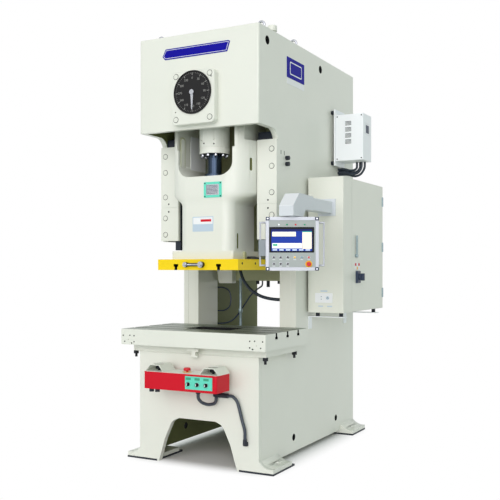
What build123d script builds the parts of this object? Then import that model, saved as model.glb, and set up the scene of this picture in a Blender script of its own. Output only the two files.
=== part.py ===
from build123d import *
import math
import os

# Servo hydraulic press with an open C-frame, in millimetres.
# The origin is on the floor at the centre of the anchor bolts, +Z is up and the operator stands at -Y.
# Depths are measured back from the frame's front face, heights from the floor.

# Welded frame
FRAME_WIDTH = 957
FRAME_DEPTH = 1740
FRAME_HEIGHT = 2980
PLATE = 40
FRONT = -FRAME_DEPTH / 2
HALF = FRAME_WIDTH / 2
INNER = HALF - PLATE
SIDES = {"left": -1, "right": 1}
CROWN_BOTTOM = 2318
CROWN_ROOT_RADIUS = 90
EDGE_RADIUS = 14
GIB_SEAT = 293
GIB_BOTTOM = 1555
THROAT_DEPTH = 583
THROAT_RADIUS = 100
BED_TOP = 820
BED_LID = 50
BED_LID_WIDTH = FRAME_WIDTH + 107
LID_BOTTOM = BED_TOP - BED_LID
ROOF_PLATE = 30
BACK_PLATE_BOTTOM = 1500
COLUMN_WIDTH = 130
COLUMN_DEPTH = 293
COLUMN_WALL = 25
COLUMN_TOP = 2300
CROSS_PLATE = 30
CROSS_PLATE_BOTTOM = 1260
CROSS_PLATE_TOP = 2500
JUNCTION_HEIGHTS = (1240, 1420)
JUNCTION_X = (18, 48, 168)
JUNCTION_DEPTH = 60
JUNCTION_RADIUS = 8
COLUMN_INNER = HALF - COLUMN_WIDTH
COLUMN_BACK = THROAT_DEPTH + COLUMN_DEPTH
SIDE_HOLES = [(126, FRAME_HEIGHT - 86, 60), (1034, FRAME_HEIGHT - 88, 60), (547, 144, 50),
              (FRAME_DEPTH - 389, 153, 50)]
VENT_LENGTH = 220
VENT_HEIGHT = 22
VENT_X = 190
VENT_BOTTOM = 1900
VENT_PITCH = 50
VENT_ROWS = 7

# Arch between the feet
ARCH_FOOT_HALF = 315
ARCH_KNEE = (263, 167)
ARCH_SHOULDER = (205, 290)
ARCH_TOP = 317
ARCH_RADIUS = 55

# Feet and their anchor holes
FOOT_THICKNESS = 40
FOOT_HALF_SPAN = HALF + 106.5
FOOT_LENGTH = 290
FOOT_INSIDE_HALF = 330
FLARE_TOP = 82
FLARE_SAG = 12
ANCHOR_HALF_X = HALF + 56.5
ANCHOR_HALF_Y = FRAME_DEPTH / 2 - 170
ANCHOR_RADIUS = 15

# Small bracket on the bed front, as steps of width between levels
STOP_REACH = 50
STOP_SHEET = 6
STOP_WEB = 12
STOP_LEVELS = (752, 764, 790, 812)
STOP_WIDTHS = ((-30, 34), (-12, 18), (-50, 40))

# Bolster
BOLSTER_WIDTH = 1150
BOLSTER_LENGTH = 667
BOLSTER_THICKNESS = 110
BOLSTER_FRONT = -94
BOLSTER_TOP = BED_TOP + BOLSTER_THICKNESS
SLOT_PITCH = 172
SLOT_NECK = 22
SLOT_HEAD = 38
SLOT_HEAD_HEIGHT = 18
SLOT_DEPTH = 42
DROP_WIDTH = 360
DROP_LENGTH = 230
DROP_RADIUS = 30
PILOT_RADIUS = 4
PILOT_DEPTH = 16
PILOT_ROWS = [(462, 886), (462, 838), (487, 834), (512, 856), (553, 884)]
STUD_X = HALF + 41.5
STUD_DEPTHS = (15, 466)
STUD_RADIUS = 9
STUD_LENGTH = 90
NUT_RADIUS = 20
NUT_HEIGHT = 22

# Press axis and cylinder
AXIS_DEPTH = 240
CYLINDER_RADIUS = 108
CYLINDER_BOTTOM = CROWN_BOTTOM - 153
CYLINDER_TOP = FRAME_HEIGHT - 130
BORE_RADIUS = 80
GLAND_HEIGHT = 48
GLAND_EDGE = 5
GLAND_BOLT_CIRCLE = 90
GLAND_BOLTS = 10
GLAND_BOLT_RADIUS = 12
GLAND_BOLT_HEAD = 18
BOLT_EDGE = 2
HEAD_THICKNESS = 40
BEAM_BOTTOM = FRAME_HEIGHT - 340
BEAM_THICKNESS = 60
BEAM_DEPTHS = (60, 640)
FLANGE_RADIUS = 155
FLANGE_THICKNESS = 40
SET_SCREW_X = 52
SET_SCREW_RISE = 97
SET_SCREW_RADIUS = 5
SET_SCREW_DEPTH = 24
ROD_RADIUS = 50
ROD_FIT = 0.05
ROD_FLANGE_RADIUS = 75
ROD_FLANGE = 26
PISTON_BOTTOM = 2290
PISTON_HEIGHT = 60
PISTON_CLEARANCE = 0.4

# Slide
SLIDE_HALF = 322
SLIDE_DEPTHS = (88, 480)
SLIDE_CORNER = 178
SLIDE_SHOULDER = 2245
SHOULDER_HALF = 285
ARM_TOP = 2400
WINDOW_HALF = 220
WINDOW_BOTTOM = 2000
WINDOW_RADIUS = 95
WINDOW_STEP_HEIGHT = 2195
WINDOW_STEP = 14
NECK_TOP = 1885
NECK_BOTTOM = 1800
STEM_HALF = 212
STEM_DEPTHS = (95, 440)
STEM_CORNER = 72
SLIDE_FOOT_HALF = 249
SLIDE_FOOT_DEPTHS = (64, 470)
SLIDE_FOOT_TOP = 1479
SLIDE_PLATE_DEPTHS = (0, 520)
SLIDE_PLATE_BOTTOM = 1346
SLIDE_PLATE_TOP = 1421
WAY_DEPTHS = (345, 435)
WAY_REACH = 22
WAY_BOTTOM = 1900
HEAD_SLOT = (206, 2078, 90, 22)
STEM_SLOT = (194, 1549, 108, 20)
SIDE_SLOT_DEPTH = 55
SIDE_TAP_DEPTHS = (60, 250, 440)
SIDE_TAP_RISE = 46
SIDE_TAP_RADIUS = 6
CLAMP_XS = (-78, 50)
CLAMP_RADIUS = 11
CLAMP_BOLTS = ((-82, 17), (42, 21))
CLAMP_DEPTH = -14
CLAMP_REACH = 30
CLAMP_HEAD = 10
RUNNING_GAP = 0.3

# Guides and their covers
GUIDE_BAR = 45
GUIDE_DEPTHS = (293, 540)
GUIDE_BOTTOM = 1491
GUIDE_TOP = CROWN_BOTTOM - 8
COVER_THICKNESS = 25
COVER_INSIDE = SLIDE_HALF + 4
COVER_BOTTOM = 1560
COVER_SPLIT = 1807
COVER_JOINT = 1
COVER_TOP = CROWN_BOTTOM - 66
COVER_BOLT_X = HALF - 38.5
COVER_BOLT_HEIGHTS = (1607, 1728, 1884, 2066, 2185)
COVER_BOLT_RADIUS = 17
COVER_BOLT_RISE = 4
SOCKET_SHARE = 0.56

# Stroke dial
DIAL_PLATE_WIDTH = 340
DIAL_PLATE_BOTTOM = CROWN_BOTTOM + 24
DIAL_PLATE_TOP = DIAL_PLATE_BOTTOM + 366
DIAL_PLATE_THICKNESS = 55
DIAL_PLATE_RADIUS = 32
DIAL_PLATE_EDGE = 4
DIAL_BOLT_X = 135
DIAL_BOLT_HEIGHTS = (DIAL_PLATE_BOTTOM + 37, DIAL_PLATE_TOP - 33)
DIAL_RADIUS = 148
DIAL_HEIGHT = DIAL_PLATE_BOTTOM + 215
DIAL_THICKNESS = 10
POINTER_LENGTH = 118
POINTER_HUB = 17
POINTER_THICKNESS = 5
SPINDLE_RADIUS = 10
DIAL_RIM = 5
DIAL_RECESS = 4
POINTER_GAP = 1
POINTER_ROOT = 11
POINTER_TIP = 3.5

# Rack on the slide and pinion on the dial's spindle: half a turn for the whole stroke
STROKE = 110
PINION_TEETH = 22
TOOTH_PITCH = 2 * STROKE / PINION_TEETH
PITCH_RADIUS = STROKE / math.pi
TOOTH_RISE = 2.6
TOOTH_FALL = 3.4
TOOTH_ROOT = 5.6
TOOTH_TIP = 2.2
TOOTH_SEAT = 0.3
RACK_DEPTHS = (PLATE + 4, BEAM_DEPTHS[0] - 3)
RACK_BACK = 16
RACK_BOTTOM = ARM_TOP - 48
RACK_FOOT = 38
RACK_TOP = DIAL_HEIGHT + 2.5 * TOOTH_PITCH
RACK_BLOCK = (236, 284)
PINION_DEPTHS = (RACK_DEPTHS[0] + 1, RACK_DEPTHS[1] - 1)

# Roof fittings
EYE_X = HALF - 68.5
EYE_DEPTHS = (170, 686)
EYE_RING = 24
EYE_WIRE = 8
EYE_COLLAR = 20
EYE_COLLAR_HEIGHT = 14
HATCH_X = (HALF - 328.5, HALF - 48.5)
HATCH_DEPTHS = (250, 506)
HATCH_HEIGHT = 34
HATCH_SHEET = 6
HATCH_EDGE = 8
HATCH_MARGIN = 60
BREATHER = (380, 398)
BREATHER_RADIUS = 34
BREATHER_HEIGHT = 62
BREATHER_NECK = (22, 19)

# Hydraulic set inside the crown
TANK_DEPTHS = (1120, FRAME_DEPTH - 50)
TANK_BOTTOM = FRAME_HEIGHT - 420
TANK_WALL = 8
PUMP_X = -150
PUMP_HEIGHT = 2050
PUMP_RADIUS = 75
PUMP_LENGTH = 170
PUMP_FLANGE = (24, 105)
PUMP_PORT = (105, 24)
MOTOR_RADIUS = 125
MOTOR_LENGTH = 380
MOTOR_FINS = 18
FIN_DEPTH = 12
FIN_GAP = 10
FIN_ENDS = (30, 60)
TERMINAL_BOX = (100, (60, 180), 50)
PIPE_RADIUS = 14
PIPE_X = -90
SUCTION_DEPTHS = (991, 1190)
SUCTION_HEIGHTS = (2390, 2450)
PRESSURE_DEPTH = 1000
PRESSURE_HEIGHT = CYLINDER_TOP - 60

# Control cabinet
CABINET_X = (HALF + 21.5, HALF + 298.5)
CABINET_DEPTHS = (755, 1635)
CABINET_HEIGHTS = (1032, 2027)
SHEET = 4
DOOR_FRONT = 928
DOOR_THICKNESS = 20
DOOR_GAP = 2
LIP = 24
BRACKET_THICKNESS = 6
BRACKET_DROP = 96
BRACKET_WIDTH = 60
BRACKET_SHORT = 10
BRACKET_DEPTHS = (830, 1540)
MOUNT_RADIUS = 15
MOUNT_XS = (HALF + 66.5, HALF + 251.5)
HANDLE_DEPTH = 1006
HANDLE_HEIGHTS = (1430, 1605)
HANDLE_WIDTH = 18
HANDLE_REACH = (8, 16)
HANDLE_PIVOT = (22, 13, 18)
KNOB_GAP = 0.5
BREAKER_DEPTH = 1040
BREAKER_HEIGHT = 1293
BREAKER_HALF = (34, 46)
BREAKER_THICKNESS = 18
BREAKER_KNOB = (26, 16)
BREAKER_GRIP = (9, 27, 40)

# Operator panel on its arm
ARM_X = HALF + 171.5
ARM_WIDTH = 92
ARM_EDGE = 6
ARM_HEIGHTS = (1759, 1846)
ELBOW_DEPTHS = (60, 385)
ELBOW_HEIGHTS = (1703, 1858)
SWIVEL_DEPTH = 150
SWIVEL_ANGLE = 28
SWIVEL_RADIUS = 38
SWIVEL_GAP = 0.5
ARM_FLANGE = (22, 8, 62)
ELBOW_PROUD = 6
ELBOW_KNEE = 155
ELBOW_SLOPE = (92, 68)
ELBOW_RISE = (40, 52)
PANEL_WIDTH = 352
PANEL_HEIGHTS = (1343, 1698)
PANEL_DEPTH = 64
PANEL_WALL = 6
PANEL_STEP = 4
RAIL_HEIGHT = 22
RAIL_PROUD = 6
CORNER_CAP = 26
CAP_PROUD = 2
CAP_EDGE = 5
SCREEN_X = (-153, 146)
SCREEN_HEIGHTS = (1462, 1632)
SCREEN_RECESS = 3
GRIP_REACH = 36
GRIP_RADIUS = 6
GRIP_HEIGHTS = (1372, 1668)
KEY_XS = (-122, -77, -30, 16, 63, 109)
KEY_ROWS = (1431, 1388)
KEY_RADIUS = 8
KEY_PROUD = 6
LAMP_XS = (-89, -35, 22, 82)
LAMP_HEIGHT = 1647
LAMP_RADIUS = 6
LAMP_PROUD = 4
PORT_PROUD = 10
PORT_WIDTH = 40
PORT_HEIGHTS = (1440, 1548)
PANEL_STOP = (109, 1386)
PANEL_STOP_RADIUS = 15
PANEL_STOP_STEM = 6.6
PANEL_STOP_REACH = (-10, 8)
PANEL_STOP_CAP = 10

# Drive box on the frame's right side
DRIVE_X = (HALF + 41.5, HALF + 271.5)
DRIVE_DEPTHS = (1242, 1435)
DRIVE_HEIGHTS = (2208, 2570)
DRIVE_PLATE = 12
DRIVE_WALL = 12
DRIVE_PLATE_HEIGHTS = (2172, 2618)
ISOLATOR_RADIUS = 16
ISOLATOR_DEPTHS = (1262, 1415)
ISOLATOR_HEIGHTS = (2195, 2597)
CABLE_RADIUS = 9
CABLE_COUNT = 4
CABLE_PITCH = 20
DRIVE_MARGIN = 4
DRIVE_EDGE = 5
VENT_GROOVE = 8
FRONT_VENT_X = (DRIVE_X[0] + 80, DRIVE_X[0] + 132)
FRONT_VENT_HEIGHTS = [DRIVE_HEIGHTS[0] + 132 + 48 * block + 9 * line
                      for block in range(4) for line in range(4)]
FRONT_VENT_WIDTH = 5
SIDE_VENT_DEPTHS = [DRIVE_DEPTHS[0] + 40 + 24 * line for line in range(5)]
SIDE_VENT_WIDTH = 12
SIDE_VENT_HEIGHTS = (DRIVE_HEIGHTS[0] + 202, DRIVE_HEIGHTS[1] - 70)
CABLE_DROP = ((706, 1404), (672, 1407), (620, 1411), (560, 1414))
CABLE_LEVELS = (48, 98, 112, 90)
CABLE_SPREAD = (1, 0.8, 0.6, 0.4)
CABLE_LIFT = (0, 0.6, 0.8, 0.72)
CABLE_STAGGER = 18

# Two-hand control box
BOX_X = (-286, 286)
BOX_DEPTHS = (-220, -45)
BOX_HEIGHTS = (545, 660)
BOX_RADIUS = 10
BOX_WALL = 4
GUARD_X = 215
GUARD_FOOT = 75
GUARD_CROWN = 38
GUARD_HEIGHT = 46
GUARD_SHEET = 3
PALM_DEPTH = -140
PALM_RADIUS = 24
PALM_HEIGHT = 20
PALM_TRAVEL = 6
STOP_X = 10
BUTTON_GAP = 0.4
STEM_RADIUS = 8
STEM_LENGTH = 20
GUARD_LENGTH = 60
GUARD_WALL = 5
GUARD_OPENING = 12
SWITCH_PLATE_X = (46, 254)
SWITCH_PLATE_HEIGHTS = (562, 648)
SWITCH_XS = (71, 140, 208)
SWITCH_HEIGHT = 596
SWITCH_RADIUS = 13
SWITCH_STEM = 6
SWITCH_PLATE = 3
SWITCH_KNOB = 10
SWITCH_GRIP = (4, 12)
HANGER_XS = (-232, 232)
HANGER_WIDTH = 40
HANGER_SHEET = 8
HANGER_RISE = 20

# Hoses
HOSE_RADIUS = 11
HOSE_ROUTE = [(258, -20, 504), (294, -20, 504), (328, -20, 474), (347, -20, 412), (365, -20, 345),
              (386, -20, 285), (386, -20, 225)]
LOOP_ROUTE = [(84, -120, 520), (84, -120, 488), (98, -98, 458), (128, -62, 440), (158, -30, 446),
              (165, -20, 464), (165, -20, 488)]
OUTLET_X = (150, 258)
OUTLET_RADIUS = 16
OUTLET_FOOT = (12, 52, 12)
BOX_GLANDS = ((-250, -180), (-205, -176))
GLAND_LENGTH = 25
BOOT = (36, 15)
SIDE_GLANDS = (417, (2093, 2135), 15, 26)
THROAT_HOSE_RADIUS = 12
THROAT_ROUTE = [(-60, 876, 1440), (-60, 760, 1440), (-50, 700, 1360), (-15, 690, 1270), (50, 685, 1195),
                (140, 685, 1145), (240, 685, 1126), (344, 685, 1124)]
CONDUIT_X = -128
CONDUIT_DEPTH = 858
CONDUIT_RADIUS = 11
CONDUIT_COUPLING = (190, 30, 16)
CONDUIT_FOOT = (0, 16, 20)
CONDUIT_CLIP = (14, 20)
REAR_CABLE_RADIUS = 6
REAR_CABLE_DEPTH = 890
REAR_ROUTES = [
    [(-INNER, 1206), (-300, 1206), (-246, 1182), (-230, 1115), (-244, 1048), (-296, 1018), (-INNER, 1018)],
    [(-INNER, 916), (-300, 916), (-220, 938), (-160, 1000), (-104, 1080), (-50, 1152), (6, 1196), (50, 1222),
     (50, CROSS_PLATE_BOTTOM)]]
REAR_GLANDS = [(100, 48), (195, 22), (8, 26)]
REAR_GLAND_RADIUS = 13


def slab(xs, depths, heights):
    """Block between two widths, two depths and two heights."""
    (x0, x1), (d0, d1), (z0, z1) = (sorted(pair) for pair in (xs, depths, heights))
    centre = Pos((x0 + x1) / 2, FRONT + (d0 + d1) / 2, (z0 + z1) / 2)
    return centre * Box(x1 - x0, d1 - d0, z1 - z0)


def post(x, depth, heights, radius, top_radius=None):
    """Upright round bar, tapered where a second radius is given."""
    base, top = heights
    place = Pos(x, FRONT + depth, base)
    low = (Align.CENTER, Align.CENTER, Align.MIN)
    if top_radius is None:
        return place * Cylinder(radius, top - base, align=low)
    return place * Cone(radius, top_radius, top - base, align=low)


def bar_back(x, depths, height, radius):
    """Round bar that runs from front to back."""
    start, end = depths
    low = (Align.CENTER, Align.CENTER, Align.MIN)
    return Pos(x, FRONT + start, height) * Rot(-90, 0, 0) * Cylinder(radius, end - start, align=low)


def bar_across(xs, depth, height, radius):
    """Round bar that runs from left to right."""
    start, end = sorted(xs)
    low = (Align.CENTER, Align.CENTER, Align.MIN)
    return Pos(start, FRONT + depth, height) * Rot(0, 90, 0) * Cylinder(radius, end - start, align=low)


def outline(points, radii=None):
    """Closed face through the points; radii gives some points, by number, a rounded corner."""
    face = make_face(Polyline(*points, close=True))
    for number, radius in (radii or {}).items():
        place = Vector(*points[number])
        corner = min(face.vertices(), key=lambda vertex: (vertex.center() - place).length)
        face = fillet(corner, radius)
    return face


def side_prism(face, xs):
    """Face drawn as depth and height, given a thickness across the machine."""
    start, end = sorted(xs)
    return extrude(Plane.YZ.offset(start) * Pos(FRONT, 0) * face, end - start)


def front_prism(face, depths):
    """Face drawn as width and height, given a thickness from front to back."""
    start, end = sorted(depths)
    return extrude(Plane.XZ.offset(-(FRONT + end)) * face, end - start)


def plan_prism(face, heights):
    """Face drawn as width and depth, given a height."""
    base, top = heights
    return extrude(Pos(0, FRONT, base) * face, top - base)


def upright_edges(part):
    """The vertical edges of a part."""
    return part.edges().filter_by(Axis.Z)


def side_plate(side):
    """Flame-cut C-shaped plate with the throat, the gib seat and four bar holes."""
    face = outline(
        [(PLATE, FOOT_THICKNESS), (FRAME_DEPTH, FOOT_THICKNESS), (FRAME_DEPTH, FRAME_HEIGHT),
         (PLATE, FRAME_HEIGHT), (PLATE, CROWN_BOTTOM), (GIB_SEAT, CROWN_BOTTOM), (GIB_SEAT, GIB_BOTTOM),
         (THROAT_DEPTH, GIB_BOTTOM), (THROAT_DEPTH, LID_BOTTOM), (PLATE, LID_BOTTOM)],
        {5: CROWN_ROOT_RADIUS, 6: EDGE_RADIUS, 7: THROAT_RADIUS})
    plate = side_prism(face, (side * INNER, side * HALF))
    for depth, height, diameter in SIDE_HOLES:
        plate -= bar_across((side * INNER, side * HALF), depth, height, diameter / 2)
    return plate


def arch_points():
    """Outline of the opening between the feet, from the left foot round to the right one."""
    left = [(-ARCH_FOOT_HALF, 0), (-ARCH_KNEE[0], ARCH_KNEE[1]), (-ARCH_SHOULDER[0], ARCH_SHOULDER[1]),
            (-ARCH_SHOULDER[0] + ARCH_RADIUS, ARCH_TOP)]
    return left + [(-x, z) for x, z in reversed(left)]


def arch_face():
    """Opening between the feet with rounded shoulders."""
    return outline(arch_points(), {2: ARCH_RADIUS, 3: ARCH_RADIUS, 4: ARCH_RADIUS, 5: ARCH_RADIUS})


def flare(half):
    """Concave weld flare from the frame's flank down to the foot's edge."""
    middle = ((half + FOOT_HALF_SPAN) / 2 - FLARE_SAG, (FLARE_TOP + FOOT_THICKNESS) / 2 - FLARE_SAG)
    return ThreePointArc((half, FLARE_TOP), middle, (FOOT_HALF_SPAN, FOOT_THICKNESS))


def bed_front_plate():
    """Bed front with its flared feet, the arch and the little stop bracket under the bolster."""
    right = Line((0, 0), (FOOT_HALF_SPAN, 0)) + Line((FOOT_HALF_SPAN, 0), (FOOT_HALF_SPAN, FOOT_THICKNESS))
    right += flare(HALF)
    right += Polyline((HALF, FLARE_TOP), (HALF, LID_BOTTOM), (0, LID_BOTTOM))
    half_face = make_face(right + Line((0, LID_BOTTOM), (0, 0)))
    face = half_face + mirror(half_face, Plane.YZ) - arch_face()
    plate = front_prism(face, (0, PLATE))
    sheet = (-STOP_REACH, -STOP_REACH + STOP_SHEET)
    plate += slab((-STOP_WEB / 2, STOP_WEB / 2), (sheet[1], 0), (STOP_LEVELS[0], STOP_LEVELS[-1]))
    for widths, low, high in zip(STOP_WIDTHS, STOP_LEVELS, STOP_LEVELS[1:]):
        plate += slab(widths, sheet, (low, high))
    return plate


def bed_rear_plate():
    """Plate that closes the bed at the back, with the same arch."""
    face = outline([(-INNER, FOOT_THICKNESS), (INNER, FOOT_THICKNESS),
                    (INNER, LID_BOTTOM), (-INNER, LID_BOTTOM)]) - arch_face()
    return front_prism(face, (FRAME_DEPTH - PLATE, FRAME_DEPTH))


def bed_lid():
    """Machined lid that carries the bolster, narrowed between the side plates behind the throat."""
    heights = (LID_BOTTOM, BED_TOP)
    lid = slab((-BED_LID_WIDTH / 2, BED_LID_WIDTH / 2), (0, THROAT_DEPTH), heights)
    lid += slab((-INNER, INNER), (THROAT_DEPTH, FRAME_DEPTH), heights)
    return lid - drop_opening(heights) - stud_holes(heights)


def drop_opening(heights):
    """Rounded opening that lets blanks fall through."""
    opening = RectangleRounded(DROP_WIDTH, DROP_LENGTH, DROP_RADIUS)
    return plan_prism(Pos(0, AXIS_DEPTH) * opening, heights)


def stud_places():
    """Where the four studs that hold the bolster stand."""
    return [(side * STUD_X, depth) for side in SIDES.values() for depth in STUD_DEPTHS]


def stud_holes(heights):
    """Clearance holes for the studs."""
    return [post(x, depth, heights, STUD_RADIUS + RUNNING_GAP) for x, depth in stud_places()]


def tee(neck, head, depth, head_height):
    """Section of a T-slot that opens upwards from zero height."""
    wide = Pos(0, head_height / 2 - depth) * Rectangle(head, head_height)
    return Pos(0, -depth / 2) * Rectangle(neck, depth) + wide


def bolster():
    """Thick plate with three T-slots, the drop opening and groups of tapped holes."""
    heights = (BED_TOP, BOLSTER_TOP)
    half = BOLSTER_WIDTH / 2
    plate = slab((-half, half), (BOLSTER_FRONT, BOLSTER_FRONT + BOLSTER_LENGTH), heights)
    plate = fillet(upright_edges(plate), EDGE_RADIUS / 2)
    slot = tee(SLOT_NECK, SLOT_HEAD, SLOT_DEPTH, SLOT_HEAD_HEIGHT)
    for step in (-1, 0, 1):
        plate -= side_prism(Pos(AXIS_DEPTH + step * SLOT_PITCH, BOLSTER_TOP) * slot, (-half, half))
    plate -= drop_opening(heights)
    for side in SIDES.values():
        for x, height in PILOT_ROWS:
            plate -= bar_back(side * x, (BOLSTER_FRONT, BOLSTER_FRONT + PILOT_DEPTH), height, PILOT_RADIUS)
    return plate


def bolster_studs():
    """Studs down through the lid, each with a black washer and hexagon nut."""
    studs = []
    for x, depth in stud_places():
        stud = post(x, depth, (LID_BOTTOM - STUD_LENGTH / 2, BED_TOP), STUD_RADIUS)
        nut = RegularPolygon(NUT_RADIUS, 6)
        stud += plan_prism(Pos(x, depth) * nut, (LID_BOTTOM - NUT_HEIGHT, LID_BOTTOM))
        studs.append(stud)
    return studs


def mounting_feet():
    """Four flared foot plates with an anchor hole each."""
    feet = []
    for side in SIDES.values():
        for start in (PLATE, FRAME_DEPTH - FOOT_LENGTH):
            end = FOOT_LENGTH if start == PLATE else FRAME_DEPTH
            section = Line((FOOT_INSIDE_HALF, 0), (FOOT_HALF_SPAN, 0))
            section += Line((FOOT_HALF_SPAN, 0), (FOOT_HALF_SPAN, FOOT_THICKNESS)) + flare(HALF)
            section += Polyline((HALF, FLARE_TOP), (HALF, FOOT_THICKNESS), (FOOT_INSIDE_HALF, FOOT_THICKNESS),
                                (FOOT_INSIDE_HALF, 0))
            foot = front_prism(make_face(section), (start, end))
            if side < 0:
                foot = mirror(foot, Plane.YZ)
            anchor_depth = FRAME_DEPTH / 2 + (ANCHOR_HALF_Y if start > PLATE else -ANCHOR_HALF_Y)
            foot -= post(side * ANCHOR_HALF_X, anchor_depth, (0, FLARE_TOP), ANCHOR_RADIUS)
            feet.append(foot)
    return feet


def crown_front_plate():
    """Crown front with rounded upright edges and the bore for the dial spindle."""
    plate = slab((-HALF, HALF), (0, PLATE), (CROWN_BOTTOM, FRAME_HEIGHT))
    front_edges = upright_edges(plate).group_by(Axis.Y)[0]
    plate = fillet(front_edges, EDGE_RADIUS)
    return plate - bar_back(0, (0, PLATE), DIAL_HEIGHT, SPINDLE_RADIUS + RUNNING_GAP)


def crown_roof():
    """Roof plate between the side plates, open under the hatch."""
    heights = (FRAME_HEIGHT - ROOF_PLATE, FRAME_HEIGHT)
    roof = slab((-INNER, INNER), (PLATE, FRAME_DEPTH - PLATE), heights)
    return roof - slab((HATCH_X[0] + HATCH_MARGIN, HATCH_X[1] - HATCH_MARGIN),
                       (HATCH_DEPTHS[0] + HATCH_MARGIN, HATCH_DEPTHS[1] - HATCH_MARGIN), heights)


def crown_back_plate():
    """Back of the crown with two banks of cooling slots."""
    depths = (FRAME_DEPTH - PLATE, FRAME_DEPTH)
    plate = slab((-INNER, INNER), depths, (BACK_PLATE_BOTTOM, FRAME_HEIGHT))
    slot = SlotOverall(VENT_LENGTH, VENT_HEIGHT)
    for side in SIDES.values():
        for row in range(VENT_ROWS):
            plate -= front_prism(Pos(side * VENT_X, VENT_BOTTOM + VENT_PITCH * row) * slot, depths)
    return plate


def column_boxes():
    """Folded channels behind the throat that stiffen the side plates."""
    boxes = []
    for side in SIDES.values():
        heights = (BED_TOP, COLUMN_TOP)
        channel = slab((side * COLUMN_INNER, side * INNER), (THROAT_DEPTH, COLUMN_BACK), heights)
        channel -= slab((side * (COLUMN_INNER + COLUMN_WALL), side * INNER),
                        (THROAT_DEPTH + COLUMN_WALL, COLUMN_BACK - COLUMN_WALL), heights)
        boxes.append(channel)
    return boxes


def rear_cross_plate():
    """Plate that joins the two side plates behind the columns."""
    depths = (COLUMN_BACK, COLUMN_BACK + CROSS_PLATE)
    return slab((-INNER, INNER), depths, (CROSS_PLATE_BOTTOM, CROSS_PLATE_TOP))


def junction_box():
    """Tapered terminal box on the front of the cross plate."""
    low, high = JUNCTION_HEIGHTS
    outer, foot, inner = (reach - COLUMN_INNER for reach in JUNCTION_X)
    corners = [(outer, high), (inner, high), (inner, low), (foot, low)]
    face = outline(corners, {2: JUNCTION_RADIUS, 3: JUNCTION_RADIUS})
    return front_prism(face, (COLUMN_BACK - JUNCTION_DEPTH, COLUMN_BACK))


def slide_guides():
    """Box guides on the side plates, grooved for the tongues of the slide."""
    guides = []
    for side in SIDES.values():
        inside = SLIDE_HALF + RUNNING_GAP
        bar = slab((side * inside, side * (inside + GUIDE_BAR)), GUIDE_DEPTHS, (GUIDE_BOTTOM, GUIDE_TOP))
        bar += slab((side * (inside + GUIDE_BAR), side * INNER), GUIDE_DEPTHS, (COVER_BOTTOM, GUIDE_TOP))
        groove = (WAY_DEPTHS[0] - RUNNING_GAP, WAY_DEPTHS[1] + RUNNING_GAP)
        bar -= slab((side * inside, side * (inside + WAY_REACH)), groove, (GUIDE_BOTTOM, GUIDE_TOP))
        guides.append(bar)
    return guides


def gib_covers(heights):
    """Left and right front covers of the guides between two heights, relieved round the crown's root."""
    depths = (GIB_SEAT - COVER_THICKNESS, GIB_SEAT)
    covers = []
    for side in SIDES.values():
        cover = slab((side * COVER_INSIDE, side * HALF), depths, heights) - side_plate(side)
        for height in COVER_BOLT_HEIGHTS:
            if heights[0] < height < heights[1]:
                cover -= bar_back(side * COVER_BOLT_X, depths, height, COVER_BOLT_RADIUS)
        covers.append(cover)
    return covers


def socket_bolt(x, face, height, length):
    """Socket-head bolt whose head stands a little in front of a face."""
    radius, rise = COVER_BOLT_RADIUS, COVER_BOLT_RISE
    bolt = bar_back(x, (face - rise, face + length), height, radius)
    bolt = chamfer(bolt.edges().group_by(Axis.Y)[0], rise / 2)
    socket = RegularPolygon(SOCKET_SHARE * radius, 6)
    return bolt - front_prism(Pos(x, height) * socket, (face - rise, face + SOCKET_SHARE * radius))


def frame_bolts():
    """Bolts of the gib covers and of the dial plate."""
    cover_face = GIB_SEAT - COVER_THICKNESS
    bolts = [socket_bolt(side * COVER_BOLT_X, cover_face, height, COVER_THICKNESS)
             for side in SIDES.values() for height in COVER_BOLT_HEIGHTS]
    bolts += [socket_bolt(side * DIAL_BOLT_X, -DIAL_PLATE_THICKNESS, height, DIAL_PLATE_THICKNESS)
              for side in SIDES.values() for height in DIAL_BOLT_HEIGHTS]
    return bolts


def dial_plate():
    """Thick rounded plate on the crown front that carries the dial."""
    height = DIAL_PLATE_TOP - DIAL_PLATE_BOTTOM
    face = RectangleRounded(DIAL_PLATE_WIDTH, height, DIAL_PLATE_RADIUS)
    plate = front_prism(Pos(0, DIAL_PLATE_BOTTOM + height / 2) * face, (-DIAL_PLATE_THICKNESS, 0))
    plate = chamfer(plate.faces().sort_by(Axis.Y)[0].edges(), DIAL_PLATE_EDGE)
    plate -= bar_back(0, (-DIAL_PLATE_THICKNESS, 0), DIAL_HEIGHT, SPINDLE_RADIUS + RUNNING_GAP)
    for side in SIDES.values():
        for bolt_height in DIAL_BOLT_HEIGHTS:
            plate -= bar_back(side * DIAL_BOLT_X, (-DIAL_PLATE_THICKNESS, 0), bolt_height, COVER_BOLT_RADIUS)
    return plate


def dial_face():
    """Round dial with a raised rim."""
    back = -DIAL_PLATE_THICKNESS
    front = back - DIAL_THICKNESS
    disc = bar_back(0, (front, back), DIAL_HEIGHT, DIAL_RADIUS)
    disc -= bar_back(0, (front, front + DIAL_RECESS), DIAL_HEIGHT, DIAL_RADIUS - DIAL_RIM)
    return disc - bar_back(0, (front, back), DIAL_HEIGHT, SPINDLE_RADIUS + RUNNING_GAP)


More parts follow.
